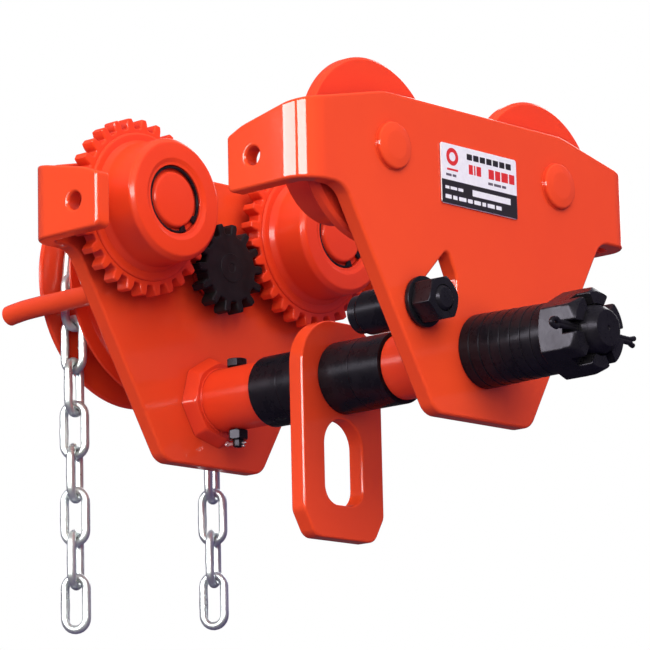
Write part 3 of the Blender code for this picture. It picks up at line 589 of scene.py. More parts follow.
# Finishes: (materials, slot name)
PAINT = ([gloss_paint("paint_sheet", light=(0.85, 0.080, 0.019), deep=(0.82, 0.073, 0.019))],
         "red_paint")
PAINT_CAST = ([gloss_paint("paint_cast", light=(0.83, 0.066, 0.016), deep=(0.80, 0.058, 0.016),
                           roughness=0.42, coat=0.6, cast=0.04, gloss=0.19)], "red_paint")
BLACK = ([dark_steel("blacked_plain")], "black_steel")
BLACK_TURNED = ([dark_steel("blacked_turned", turned=True)], "black_steel")
BLACK_GEAR = ([dark_steel("blacked_gear", tone=(0.008, 0.008, 0.008),
                          worn=(0.016, 0.015, 0.015), roughness=0.5)], "black_steel")
ZINC = ([plated("zinc_chain", tone=(0.70, 0.77, 0.74), metallic=0.72)], "zinc")
BOLT_ZINC = ([plated("zinc_small_parts", tone=(0.66, 0.67, 0.70), roughness=0.26)], "zinc")
GROUND = ([plated("ground_steel", tone=(0.55, 0.55, 0.56))], "bearing_steel")
PRINT = ([printed("plate_white", (0.83, 0.90, 0.79)),
          printed("plate_black", (0.022, 0.02, 0.022)),
          printed("plate_red", (0.70, 0.03, 0.02)),
          printed("plate_grey", (0.12, 0.11, 0.12))], "rating_plate")

# ======================================================================== shared dimensions
# The side plates' inner and outer faces, as distances from the middle plane
PLATE_IN, PLATE_T = 96.5, 10.0
PLATE_OUT = PLATE_IN + PLATE_T
PLATE_MID = (PLATE_IN + PLATE_OUT) / 2
FACE_GAP = 0.3                            # left between a plate face and the part beside it
BORE_R = 13.9                             # of everything threaded on the shaft
WHEEL_Y, WHEEL_Z = 68.9, 102.4
MODULE, GEAR_TEETH, PINION_TEETH = 3.5, 28, 14
GEAR_DISTANCE = MODULE * (GEAR_TEETH + PINION_TEETH) / 2
PINION_Z = WHEEL_Z - math.sqrt(GEAR_DISTANCE ** 2 - WHEEL_Y ** 2)
PINION_AXIS = (0, PINION_Z)
CHAIN_X, CHAIN_PITCH, CHAIN_WIRE_R, CHAIN_HALF_W, POCKETS = -154.0, 25.0, 2.5, 6.5, 7
CHAIN_VERTEX_R = CHAIN_PITCH / (2 * math.sin(math.pi / (2 * POCKETS)))
ROLLER_AXIS = (-49.0, 20.5)


# ======================================================================== side plates
def side_plate(name, side, holes):
    """A plate whose two ends bend round towards the middle plane as lugs.

    It is drawn flat: distances along the developed middle surface from y = 0, and z."""
    bend_out_r, plate_length = 16.0, 272.4
    top, top_half, low = 132.0, 74.0, -38.0
    slant, slant_y = 0.59, 61.7           # the ends lean by slant from slant_y at z = 0
    lug_low, lug_top, lug_length = 76.0, 117.4, 57.0
    hole_r, hole_in, hole_z = 5.0, 18.4, 93.0

    bend_r = bend_out_r - PLATE_T / 2
    flat_y = plate_length / 2 - bend_out_r
    bend_length = bend_r * math.pi / 2
    lug_start = flat_y + bend_length

    def lug_along(from_tip):
        return lug_start + (PLATE_MID - bend_r - (PLATE_OUT - lug_length + from_tip))

    tip = lug_along(0)
    # (distance along, z, corner radius) up the +y half, from the lower edge
    right = [
        (slant_y + slant * low, low, 11.0), (slant_y + slant * lug_low, lug_low, 13.0),
        (tip, lug_low, 3.6), (tip, 105.6, 1.2), (lug_along(1.2), 107.0, 3.0),
        (lug_along(10.3), 110.9, 30.0), (lug_start, lug_top, 40.0), (top_half, top, 30.0),
    ]
    corners = right + [(-along, z, radius) for along, z, radius in reversed(right)]
    outline = contour([corner[:2] for corner in corners], [corner[2] for corner in corners],
                      steps=9)
    cuts = [flat_y - 0.5] + [flat_y + bend_length * k / 18 for k in range(19)] + [lug_start + 0.5]
    cuts += [-cut for cut in cuts]
    # the outline gets a point wherever it crosses a cut, so that the rounded edge bends too
    dense = []
    for i, (start, _, after) in enumerate(outline):
        end, before, _ = outline[(i + 1) % len(outline)]
        dense.append(outline[i])
        if abs(end.x - start.x) <= 1e-6:
            continue
        shares = [(cut - start.x) / (end.x - start.x) for cut in cuts]
        for share in sorted(share for share in shares if 1e-4 < share < 1 - 1e-4):
            normal = after.lerp(before, share).normalized()
            dense.append((start.lerp(end, share), normal, normal))

    def place(depth, along, z, normal):
        sign = 1 if along >= 0 else -1
        angle = min(max((abs(along) - flat_y) / bend_r, 0.0), math.pi / 2)
        cos, sin = math.cos(angle), math.sin(angle)
        over = max(0.0, abs(along) - lug_start)
        if abs(along) <= flat_y:
            x, y = PLATE_MID + depth, abs(along)
        else:
            x = PLATE_MID - bend_r + (bend_r + depth) * cos - over
            y = flat_y + (bend_r + depth) * sin
        normal_depth, normal_along = normal[0], normal[1] * sign
        normal_x = normal_depth * cos - normal_along * sin
        normal_y = normal_depth * sin + normal_along * cos
        return (side * x, sign * y, z), (side * normal_x, sign * normal_y, normal[2])

    lug_holes = [circle(sign * lug_along(hole_in), hole_z, hole_r, 40, hole=True)
                 for sign in (1, -1)]
    shape = Shape().prism([dense] + holes + lug_holes, -PLATE_T / 2, PLATE_T / 2, bevel=1.7,
                          steps=4, side=side, place=place, cuts=cuts)
    put(name, shape, PAINT)


# The window in the plain plate's front half: (y, z), clockwise
WINDOW = [(-26.0, 53.0), (-19.3, 38.5), (-19.8, 22.0), (-40.0, 11.5), (-58.5, 12.5), (-58.5, 20.5)]
WINDOW_ROUNDS = [3.0, 10.0, 8.0, 8.0, 4.0, 4.0]
side_plate("side_plate_plain", 1, [contour(WINDOW, WINDOW_ROUNDS, steps=6)])
side_plate("side_plate_geared", -1, [circle(*PINION_AXIS, 15.3, 48, hole=True)])


# ======================================================================== shaft line
def shaft():
    radius = 13.5
    profile = [(0, -110.0), (11.6, -110.0), (radius, -108.2), (radius, 185.2), (12.7, 188.6),
               (9.7, SHAFT_END), (1.5, SHAFT_END), (0.8, 192.3), (0, 192.2)]
    rounds = [0, 0.4, 0.4, 3.0, 5.0, 0.9, 0.2, 0.2, 0]
    put("suspension_shaft", Shape().lathe(profile, rounds, closed=False, steps=6), BLACK_TURNED)


def bosses():
    """A boss on each plate's inner face, the geared one with an eight-sided collar."""
    radius, end, collar_end = 18.3, PLATE_IN - FACE_GAP, 88.6
    put("spindle_boss_geared", Shape().ring(radius, BORE_R, 50.0, end, 0.9, side=-1), PAINT_CAST)
    collar = Shape().nut(8, 24.6, -end, -collar_end, 17.0, chamfer=(0, 0.9), soft=0.5,
                         turn=math.radians(7), taper=21.0 / 24.6)
    collar.bead((-collar_end, 0, 0), 18.5, 0.7)
    put("boss_collar", collar, PAINT_CAST, replaces=False)
    plain = Shape().ring(radius, BORE_R, 48.5, end, 0.9)
    put("spindle_boss_plain", plain.bead((end - 1.0, 0, 0), 18.8, 1.9, ripples=26), PAINT_CAST)


def spacers():
    """Two pairs of rings between the bosses, and a stack of eight outside the plain plate."""
    radius, gap, thickness = 20.3, 0.3, 6.6

    def spacer(name, x0, x1, outer, rounds):
        grow = 0.13
        shape = Shape().ring(outer, BORE_R, x1 + grow, x0 - grow, rounds)
        put(name, shape, BLACK_TURNED)

    number = 0
    for start, room in ((-49.7, 42.8), (4.1, 44.1)):
        width = (room - gap) / 2
        for x0, x1 in ((start, start + width), (start + width + gap, start + room)):
            number += 1
            spacer(f"spacer_inner_{number}", x0, x1, radius, 0.5)
    for i in range(8):
        x0 = PLATE_OUT + FACE_GAP + i * (thickness + gap)
        spacer(f"spacer_outer_{i + 1}", x0, x0 + thickness, radius - 0.18 * i, 0.45)


def castle_nut():
    """A hexagon nut whose crown is slotted across its corners and chamfered at the +x end."""
    apothem, turn = 20.5, math.radians(30)
    base_x, crown_x, end_x = 162.0, 178.0, 187.0
    half_gap, chamfer, soft, edge = 3.1, 3.5, 0.42, 0.9
    half_face = math.pi / 6
    corner = apothem / math.cos(half_face)
    shape = Shape().nut(6, apothem, base_x, crown_x, BORE_R, chamfer=(2.2, 0), soft=0.22,
                        turn=turn)

    def hexagon_r(angle, x):
        return soft_min((apothem / math.cos(angle + half_face),
                         apothem / math.cos(angle - half_face),
                         corner - chamfer + (end_x - x) * 0.85), soft)

    def angle_at(inset, x):
        """The angle from the tooth's middle that lies inset from the slot's wall."""
        angle = 0.3
        for _ in range(8):
            angle = half_face - math.asin((half_gap + inset) / hexagon_r(angle, x))
        return angle

    def crown_r(angle, x):
        radius = hexagon_r(angle, x)
        inset = min(max(radius * math.sin(half_face - abs(angle)) - half_gap, 0.0), edge)
        return radius - (edge - math.sqrt(max(edge * edge - (edge - inset) ** 2, 0.0)))

    xs = [crown_x, crown_x + 2.0, crown_x + 3.5] + [end_x - 5.0 + 0.5 * k for k in range(11)]
    bore_limit = half_face - math.asin(half_gap / BORE_R)
    for k in range(6):
        middle = turn + k * math.pi / 3

        def spot(angle, x, radius=None):
            radius = crown_r(angle, x) if radius is None else radius
            return Vector((x, radius * math.cos(middle + angle), radius * math.sin(middle + angle)))

        rows, normals = [], []
        for x in xs:
            half = [angle_at(inset, x) for inset in (0.0, 0.05, 0.16, 0.35, edge)]
            half += [half[-1] * share for share in (0.75, 0.5, 0.3, 0.18, 0.1, 0.05, 0.0)]
            angles = [-angle for angle in half] + half[:-1][::-1]
            rows.append([tuple(spot(angle, x)) for angle in angles])
            row_normals = []
            for angle in angles:
                low, high = max(angle - 2e-3, angles[0]), min(angle + 2e-3, angles[-1])
                round_step = spot(high, x) - spot(low, x)
                # just inside the face, where the rounded edge is well defined
                long_step = spot(angle * 0.999, x + 0.01) - spot(angle * 0.999, x - 0.01)
                normal = round_step.cross(long_step).normalized()
                if normal.dot(Vector((0, math.cos(middle + angle), math.sin(middle + angle)))) < 0:
                    normal = -normal
                row_normals.append(tuple(normal))
            normals.append(row_normals)
        shape.grid(rows, normals, flip=True)
        # the end face of the tooth; angles are those of the last station
        inner = [tuple(spot(bore_limit * angle / angles[-1], end_x, BORE_R)) for angle in angles]
        for i in range(len(angles) - 1):
            shape.face([inner[i], rows[-1][i], rows[-1][i + 1], inner[i + 1]], [(1, 0, 0)] * 4)
        for sign, column in ((-1, 0), (1, -1)):
            away = middle + sign * half_face
            wall_normal = (0.0, sign * -math.sin(away), sign * math.cos(away))
            for i in range(len(xs) - 1):
                quad = [tuple(spot(sign * bore_limit, xs[i], BORE_R)), rows[i][column],
                        rows[i + 1][column], tuple(spot(sign * bore_limit, xs[i + 1], BORE_R))]
                if sign > 0:
                    quad.reverse()
                shape.face(quad, [wall_normal] * 4)
    put("castle_nut", shape, BLACK)


def split_pin(name, at, axis, length, wire, eye, splay, finish, body="root", close=0.98,
              eye_stretch=1.0):
    """One wire doubled back on itself through its eye, legs bent apart in z by splay.

    close is how far each leg runs from the pin's axis, in wire radii."""
    half = length / 2
    # (distance along the pin, distance across it)
    leg = [(half + 0.5, splay), (half - 1.4, splay * 0.72), (half - 3.2, wire * close * 1.1),
           (half - 6.0, wire * close), (0, wire * close), (-half + 1.0, wire * close)]
    loop = []
    for k in range(1, 14):
        angle = math.radians(52 + (360 - 104) * k / 14)
        loop.append((-half - eye * eye_stretch * 0.9 + eye * eye_stretch * math.cos(angle),
                     eye * math.sin(angle)))
    other = [(along - (1.2 if i < 2 else 0), -across * (1.15 if i < 2 else 1))
             for i, (along, across) in enumerate(leg)]
    points = [Vector(at) + Vector(axis) * along + Vector((0, 0, 1)) * across
              for along, across in leg + loop + other[::-1]]
    # a Catmull-Rom curve through the points
    path = []
    for i in range(len(points) - 1):
        before, start = points[max(i - 1, 0)], points[i]
        end, after = points[i + 1], points[min(i + 2, len(points) - 1)]
        for share in (0, 0.33, 0.66):
            path.append(0.5 * ((2 * start) + (end - before) * share
                               + (2 * before - 5 * start + 4 * end - after) * share * share
                               + (3 * start - before - 3 * end + after) * share ** 3))
    path.append(points[-1])
    put(name, Shape().tube(path, wire, cap=0.5), finish, body)


def suspension_plate():
    """The hanging plate, with the shaft's bore and a slot round at its upper end."""
    slot_half, slot_low, slot_high = 15.2, -71.3, -23.0
    outline = contour([(-32.4, 32.0), (-32.4, -76.0), (-24.0, -90.5),
                       (24.0, -90.5), (32.4, -76.0), (32.4, 32.0)], [26, 7, 8, 8, 7, 26], steps=12)
    upper = arc(0, slot_high - slot_half, slot_half, 0, 180, 24)
    slot = contour([(slot_half, slot_low), (-slot_half, slot_low)] + upper[::-1],
                   [10.5, 10.5] + [0] * 25, steps=8)
    shape = Shape().prism([outline, slot, circle(0, 0, 14.0, 48, hole=True)], -6.6, 3.8,
                          bevel=1.2, steps=4)
    put("suspension_plate", shape, PAINT, "suspension")


def lock_bolt():
    """An upright bolt through the geared side's boss, with its nut and split pin."""
    x = -77.5
    bolt = Shape().nut(6, 5.5, 18.6, 22.8, 0.0, chamfer=(0.0, 0.8), soft=0.1, at=(x, 0),
                       upright=True, turn=math.radians(12))
    bolt.tube([(x, 0, 19.0), (x, 0, -10.0), (x, 0, -27.6)], 3.2, segments=32, cap=0.3)
    put("lock_bolt", bolt, BLACK)
    nut = Shape().nut(6, 5.2, -24.0, -18.6, 3.4, chamfer=(0.7, 0.7), soft=0.1, at=(x, 0),
                      upright=True, turn=math.radians(20))
    put("lock_nut", nut, BLACK)
    split_pin("lock_cotter_pin", at=(x - 1.3, 0, -26.3), axis=(1, 0, -0.12), length=13.0,
              wire=0.6, eye=1.0, splay=1.0, finish=BOLT_ZINC, close=0.8)


shaft()
bosses()
spacers()
castle_nut()
split_pin("castle_nut_cotter_pin", at=(181.6, 4.2, -0.4), axis=(0, 0.9995, -0.03), length=62.0,
          wire=1.5, eye=2.0, splay=1.9, finish=BLACK, close=0.6, eye_stretch=1.7)
suspension_plate()
lock_bolt()

# ======================================================================== wheels
TREAD_R, FLANGE_R = 35.0, 51.0
# The wheel's faces towards the side plate and towards the middle plane
WHEEL_OUT, WHEEL_IN = 93.2, 55.0


def gear_outline(teeth, tip_r, root_r, phase, tip_round, root_round):
    """Involute teeth, the first centred on the angle phase."""
    pressure, slack = math.radians(20), 0.7       # slack thins each tooth at the pitch circle
    pitch_r = MODULE * teeth / 2
    base_r = pitch_r * math.cos(pressure)
    half_at_base = (math.pi / (2 * teeth) - slack / (2 * pitch_r)
                    + math.tan(pressure) - pressure)

    def half_angle(radius):
        if radius <= base_r:
            return half_at_base
        angle = math.acos(base_r / radius)
        return half_at_base - (math.tan(angle) - angle)

    flank_low = max(base_r, root_r)
    flank = [(root_r, root_round)]
    flank += [(flank_low + (tip_r - flank_low) * share, 0) for share in (0.25, 0.5, 0.75)]
    flank.append((tip_r, tip_round))
    points, rounds = [], []
    for k in range(teeth):
        middle = phase + 2 * math.pi * k / teeth
        for sign, stations in ((-1, flank), (1, flank[::-1])):
            for radius, corner in stations:
                angle = middle + sign * half_angle(radius)
                points.append((radius * math.cos(angle), radius * math.sin(angle)))
                rounds.append(corner)
    return contour(points, rounds, sharp=50)


def snap_ring():
    """An open ring with two inward ears, centred on the origin."""
    inner, outer, gap_angle, half_gap = 17.7, 19.1, -50.0, 12.0
    start, end = gap_angle + half_gap, gap_angle + 360 - half_gap
    ear = [(0, 15.3), (7, 14.9), (11, 15.9), (14, inner)]     # (degrees from the gap, radius)
    points = arc(0, 0, outer, start, end, 60)
    points += [polar(radius, end - angle) for angle, radius in ear]
    points += arc(0, 0, inner, end - 20, start + 20, 50)
    points += [polar(radius, start + angle) for angle, radius in reversed(ear)]
    return contour(points, sharp=50)


def fittings(kind, end, side, y):
    """A wheel's axle, bearing, dust cap and snap ring."""
    tag, body, at = f"{kind}_{end}", f"wheel_{kind}_{end}", (y, WHEEL_Z)
    # the axle's head lies on the plate's outer face
    head = PLATE_OUT + 0.1
    profile = [(0, 61.5), (10.0, 61.5), (10.0, 79.3), (12.5, 79.3), (12.5, 96.2), (8.6, 96.2),
               (8.6, head), (13.0, head), (12.7, head + 2.5), (7.5, head + 3.4), (0, head + 3.45)]
    rounds = [0, 0.6, 0.3, 0.4, 0.4, 0, 0.2, 0.2, 1.5, 9.0, 0]
    axle = Shape().lathe(profile, rounds, at, side=side, closed=False, steps=5)
    axle.bead((side * head, y, WHEEL_Z), 13.0, 0.38, steps=96)
    put(f"wheel_axle_{tag}", axle, PAINT)
    bearing = Shape().ring(19.2, 10.3, 78.7, 60.9, 0.6, at=at, segments=64, side=side)
    put(f"wheel_bearing_{tag}", bearing, GROUND, body)
    # dust cap: raised middle with a soft shoulder
    profile = [(0, 60.4), (19.2, 60.4), (19.2, 59.0), (16.6, 59.0), (15.2, 56.4), (0, 56.1)]
    cap = Shape().lathe(profile, [0, 0.3, 0.3, 0.8, 2.0, 0], at, side=side, steps=5)
    put(f"dust_cap_{tag}", cap, PAINT_CAST, body)
    clip = Shape().prism([snap_ring()], 56.9, 58.5, bevel=0.35, steps=2, at=at, side=side)
    put(f"circlip_{tag}", clip, BLACK, body)


def tread_profile(back):
    """The tread's inner face, chamfers and stepped bore, with the corner radii."""
    points = [(TREAD_R, WHEEL_IN + 2.6), (TREAD_R - 2.6, WHEEL_IN), (23.4, WHEEL_IN),
              (21.2, WHEEL_IN + 1.1), (19.5, WHEEL_IN + 1.3), (19.5, 79.0), (13.0, 79.0),
              (13.0, back)]
    return points, [2.6, 2.2, 1.6, 0.8, 0.3, 0.2, 0.2, 0.4]


def plain_wheel(end, y):
    tread, tread_rounds = tread_profile(WHEEL_OUT)
    flange = [(FLANGE_R - 1.8, WHEEL_OUT), (FLANGE_R, WHEEL_OUT - 1.8), (FLANGE_R, WHEEL_OUT - 6.2),
              (FLANGE_R - 2.4, WHEEL_OUT - 8.6), (TREAD_R + 4.0, WHEEL_OUT - 9.6),
              (TREAD_R + 0.4, WHEEL_OUT - 12.8)]
    shape = Shape().lathe(flange + tread, [1.0, 1.2, 1.6, 1.2, 5.0, 3.0] + tread_rounds,
                          (y, WHEEL_Z), steps=5)
    put(f"plain_wheel_{end}", shape, PAINT_CAST, f"wheel_plain_{end}")
    fittings("plain", end, 1, y)


def geared_wheel(end, y, phase):
    at, back, gear_in = (y, WHEEL_Z), WHEEL_OUT - 0.6, WHEEL_OUT - 12.0
    tread, tread_rounds = tread_profile(back)
    core = [(TREAD_R + 4.2, back), (TREAD_R + 4.2, gear_in + 0.2), (TREAD_R + 3.6, gear_in - 0.6),
            (TREAD_R + 0.4, gear_in - 5.0)]
    shape = Shape().lathe(core + tread, [0.4, 0.0, 3.0, 4.0] + tread_rounds, at, side=-1, steps=5)
    teeth = gear_outline(GEAR_TEETH, 50.9, 44.9, phase, tip_round=1.3, root_round=1.3)
    shape.prism([teeth, circle(0, 0, 27, 48, hole=True)], gear_in, 90.2, bevel=1.1, steps=3,
                at=at, side=-1)
    # the low step between the tooth roots and the tread
    step = [(42.6, gear_in + 2.0), (42.6, gear_in - 0.7), (41.2, gear_in - 1.5),
            (TREAD_R - 2, gear_in - 1.8), (TREAD_R - 2, gear_in + 2.0)]
    shape.lathe(step, [0, 0.8, 1.0, 0, 0], at, side=-1)
    put(f"geared_wheel_{end}", shape, PAINT_CAST, f"wheel_geared_{end}")
    fittings("geared", end, -1, y)


# A pinion tooth points at the front gear; each gear shows the pinion a matching tooth space
to_front = math.atan2(WHEEL_Z - PINION_Z, -WHEEL_Y)
to_rear = math.atan2(WHEEL_Z - PINION_Z, WHEEL_Y)
front_phase = to_front + math.pi + math.pi / GEAR_TEETH
tooth_offset = (to_rear - to_front) % (2 * math.pi / PINION_TEETH)
rear_phase = (to_rear + math.pi + math.pi / GEAR_TEETH
              + tooth_offset * PINION_TEETH / GEAR_TEETH)
plain_wheel("front", -WHEEL_Y)
plain_wheel("rear", WHEEL_Y)
geared_wheel("front", -WHEEL_Y, front_phase)
geared_wheel("rear", WHEEL_Y, rear_phase)


# ======================================================================== drive
def drive_pinion():
    teeth = gear_outline(PINION_TEETH, 26.3, 20.0, to_front, tip_round=1.1, root_round=1.2)
    profile = [(0, -184.0), (7.4, -184.0), (8.0, -183.2), (8.0, -170.6), (9.0, -170.6),
               (9.0, -80.8), (8.4, -80.1), (3.0, -80.1), (1.2, -81.6), (0, -81.8)]
    rounds = [0, 0.2, 0.2, 0.1, 0.2, 0.2, 0.2, 0.2, 0.1, 0]
    shape = Shape().prism([teeth], -90.6, -80.4, bevel=1.2, steps=3, at=PINION_AXIS)
    shape.lathe(profile, rounds, PINION_AXIS, segments=64, closed=False, steps=3)
    put("drive_pinion", shape, BLACK_GEAR, "drive")


def pinion_bush():
    """A flanged bush through the geared plate, welded round its flange."""
    profile = [(24.0, 111.6), (24.0, 106.8), (15.0, 106.8), (15.0, 95.2), (9.4, 95.2), (9.4, 111.6)]
    shape = Shape().lathe(profile, 0.7, PINION_AXIS, side=-1)
    put("pinion_bush", shape.bead((-107.4, *PINION_AXIS), 24.2, 1.6, ripples=30), PAINT_CAST)


def hand_chain_wheel():
    """Flanged rim with the chain's groove, holed web and hub."""
    middle, rim_out, rim_in = -CHAIN_X, 168.0, 140.6
    floor_r = CHAIN_VERTEX_R * math.cos(math.pi / (2 * POCKETS)) - CHAIN_WIRE_R - 0.9
    slot_r = floor_r - 6.6
    # (radius, x, corner radius)
    rim = [
        (71.0, rim_out - 1.2, 0.8), (69.4, rim_out - 2.6, 1.5), (59.5, middle + 10.6, 3.0),
        (floor_r, middle + 10.2, 1.0), (floor_r, middle + 3.3, 0.8), (slot_r, middle + 3.3, 1.0),
        (slot_r, middle - 3.3, 1.0), (floor_r, middle - 3.3, 0.8), (floor_r, middle - 10.2, 1.0),
        (59.5, middle - 10.6, 3.0), (69.4, rim_in + 2.6, 1.5), (71.0, rim_in + 1.2, 0.8),
        (70.2, rim_in, 0.8), (62.0, rim_in, 6.0), (40.0, middle - 5.0, 4.0),
        (38.0, middle - 5.0, 0), (38.0, middle + 5.0, 0), (40.0, middle + 5.0, 4.0),
        (62.0, rim_out, 6.0), (70.2, rim_out, 0.8),
    ]
    shape = Shape().lathe([corner[:2] for corner in rim], [corner[2] for corner in rim],
                          PINION_AXIS, side=-1)
    web = [circle(0, 0, 40.5, 72), circle(0, 0, 12.0, 36, hole=True)]
    web += [circle(*polar(28.5, 90 + 72 * k), 7.6, 28, hole=True) for k in range(5)]
    shape.prism(web, middle - 5.0, middle + 5.0, bevel=0.9, steps=3, at=PINION_AXIS, side=-1)
    hub = [(17.0, 169.8), (19.0, middle + 4.0), (19.0, middle - 4.0), (17.0, 136.0),
           (9.4, 136.0), (9.4, 169.8)]
    shape.lathe(hub, [1.2, 3, 3, 1.2, 0.5, 0.5], PINION_AXIS, segments=72, side=-1)
    put("hand_chain_wheel", shape, PAINT_CAST, "drive")


def chain_guides():
    """A rod out from the geared plate on each side of the chain wheel."""
    base_z = 56.5
    # (x, z)
    stations = [(-106.8, base_z), (-120, base_z), (-135, base_z), (-150, base_z), (-160, 56.45),
                (-168, 56.3), (-174, 56.1), (-180, 55.6), (-184, 55.2), (-186.6, 54.8)]
    for tag, y in (("front", -76.0), ("rear", 76.0)):
        shape = Shape().tube([(x, y, z) for x, z in stations], 5.9, segments=32, cap=0.28)
        shape.bead((-107.8, y, base_z), 6.6, 1.7, ripples=12, steps=120)
        put(f"chain_guide_{tag}", shape, PAINT)


drive_pinion()
pinion_bush()
hand_chain_wheel()
put("hand_wheel_nut",
    Shape().nut(6, 12.0, -178.6, -170.9, 8.3, chamfer=(1.2, 1.2), soft=0.14, at=PINION_AXIS,
                turn=math.radians(30)), BOLT_ZINC, "drive")
split_pin("hand_wheel_cotter_pin", at=(-181.5, *PINION_AXIS), axis=(0, 1, 0), length=24.0,
          wire=0.85, eye=1.9, splay=3.4, finish=BOLT_ZINC, body="drive")
chain_guides()


# ======================================================================== hand chain
def weld_swell(share):
    """Thickens the wire at the weld, half way down one straight side."""
    return 1.0 + 0.10 * math.exp(-((share - 15.5 / 36) / 0.018) ** 2)


def add_link(shape, centre, along, across):
    middle, long_axis, wide_axis = Vector(centre), Vector(along), Vector(across)
    reach = CHAIN_PITCH / 2 + CHAIN_WIRE_R - CHAIN_HALF_W
    path = []
    for sign in (1, -1):
        for i in range(13):
            angle = math.pi * i / 12
            path.append(middle + long_axis * (sign * (reach + CHAIN_HALF_W * math.sin(angle)))
                        + wide_axis * (sign * CHAIN_HALF_W * math.cos(angle)))
        for i in range(1, 6):
            path.append(middle + long_axis * (sign * reach * (1 - 2 * i / 6))
                        + wide_axis * (-sign * CHAIN_HALF_W))
    shape.tube(path, CHAIN_WIRE_R, segments=16, closed=True, swell=weld_swell)


def hand_chain():
    """Seven links over the wheel and a fall of eight on each side, alternately turned."""
    step = math.pi / POCKETS
    link_r = CHAIN_VERTEX_R * math.cos(step / 2)
    first = math.pi - math.radians(7.8)
    shape = Shape()
    for k in range(7):
        angle = first - k * step
        cos, sin = math.cos(angle), math.sin(angle)
        add_link(shape, (CHAIN_X, link_r * cos, PINION_Z + link_r * sin), (0, -sin, cos),
                 (1, 0, 0) if k % 2 == 0 else (0, cos, sin))
    put("chain_over_wheel", shape, ZINC)
    for tag, angle in (("front", first + step / 2), ("rear", first - 6.5 * step)):
        y = CHAIN_VERTEX_R * math.cos(angle)
        top_z = PINION_Z + CHAIN_VERTEX_R * math.sin(angle) - CHAIN_PITCH / 2 + 1.2
        shape = Shape()
        for k in range(8):
            twist = math.radians(min(25.0, 8.0 * k))
            cos, sin = math.cos(twist), math.sin(twist)
            add_link(shape, (CHAIN_X, y, top_z - k * CHAIN_PITCH), (0, 0, 1),
                     (cos, sin, 0) if k % 2 == 1 else (-sin, cos, 0))
        put(f"chain_fall_{tag}", shape, ZINC, f"chain_{tag}")


hand_chain()


# ======================================================================== anti-tilt roller
def tilt_roller():
    """The roller inside the plain plate, with its bolt, washer and nut."""
    profile = [(12.0, 94.6), (12.0, 69.6), (10.4, 68.0), (7.3, 68.0), (7.3, 95.8), (10.8, 95.8)]
    roller = Shape().lathe(profile, [0.8, 1.2, 1.0, 0.3, 0.3, 0.8], ROLLER_AXIS, segments=72,
                           steps=5)
    put("tilt_roller", roller, BLACK_TURNED, "roller")
    thread_x = 108.0
    head = [(0, 62.0), (9.9, 62.0), (10.5, 62.8), (10.5, 67.7), (7.0, 67.7), (7.0, thread_x)]
    thread = []
    for k in range(7):
        x = thread_x + 2.0 * k
        thread += [(6.95, x + 0.2), (6.1, x + 0.95), (6.1, x + 1.1), (6.95, x + 1.8)]
    tip = [(6.7, 122.6), (5.4, 124.2), (0, 124.4)]
    rounds = [0, 0.3, 0.3, 0.2] + [0.08] * (2 + len(thread)) + [0.3, 0.6, 0]
    bolt = Shape().lathe(head + thread + tip, rounds, ROLLER_AXIS, segments=56, closed=False,
                         steps=3)
    put("roller_bolt", bolt, BLACK)
    washer = Shape().ring(13.8, 7.3, 109.6, PLATE_OUT + FACE_GAP, 0.6, at=ROLLER_AXIS,
                          segments=72, steps=3)
    put("roller_washer", washer, BLACK)
    nut = Shape().nut(6, 11.0, 109.9, 122.7, 7.2, chamfer=(1.1, 1.3), soft=0.16, at=ROLLER_AXIS,
                      turn=math.radians(15))
    put("roller_nut", nut, BLACK)


tilt_roller()


# ======================================================================== rating plate
def rating_plate():
    """A printed plate on the plain plate's outer face, with blocks for its lettering."""
    white, black, red, grey = range(4)
    base, thickness = PLATE_OUT + 0.2, 0.8
    y0, y1, z0, z1 = -30.8, 32.3, 77.7, 111.2
    over = 0.08                           # height of white marks laid on black
    shape = Shape()

    def rectangle(left, low, right, high, radius, steps=3):
        return contour([(left, low), (right, low), (right, high), (left, high)], [radius] * 4,
                       steps=steps)

    def mark(loop, slot, lift=0.04, bevel=0.03):
        shape.prism([loop], base + 0.55, base + thickness + lift, bevel=bevel, steps=1, slot=slot)

    shape.prism([rectangle(y0, z0, y1, z1, 1.6, steps=5)], base, base + thickness, bevel=0.25,
                steps=2, slot=white)
    mark(rectangle(y0 + 0.2, z0 + 0.2, y1 - 0.2, 91.0, 0.2), black)
    mark(rectangle(-5.5, 84.9, 26.5, 88.4, 0.2), white, lift=over)
    # a red ring over a short bar
    mark(circle(-21.5, 104.2, 4.9, 36), red)
    mark(circle(-21.5, 104.2, 2.5, 30), white, lift=over, bevel=0.02)
    mark(rectangle(-26.0, 96.4, -17.0, 97.6, 0.2), red)
    # rows of blocks: y, z, height, widths, slot, gap, lift
    rows = [
        (-9.5, 104.6, 3.4, (4.5,) * 7, black, 0.95, 0.04),
        (-8.0, 96.8, 5.4, (3.4, 1.2, 3.8), red, 0.9, 0.04),
        (8.5, 96.8, 5.4, (4.6, 4.4, 5.6, 4.6), red, 0.9, 0.04),
        (8.0, 93.4, 1.5, (4.0, 6.0, 3.5), grey, 0.8, 0.04),
        (-27.0, 93.2, 1.4, (4.5, 3.0), grey, 0.9, 0.04),
        (-28.0, 85.9, 1.7, (3.4, 5.4, 4.2), white, 0.9, over),
        (-28.0, 80.6, 2.2, (5.0, 3.5, 6.0, 4.0, 5.5, 3.0, 6.0, 4.5), white, 1.3, over),
    ]
    for y, z, height, widths, slot, gap, lift in rows:
        for width in widths:
            mark(rectangle(y, z, y + width, z + height, 0.25), slot, lift=lift)
            y += width + gap
    put("rating_plate", shape, PRINT)


rating_plate()


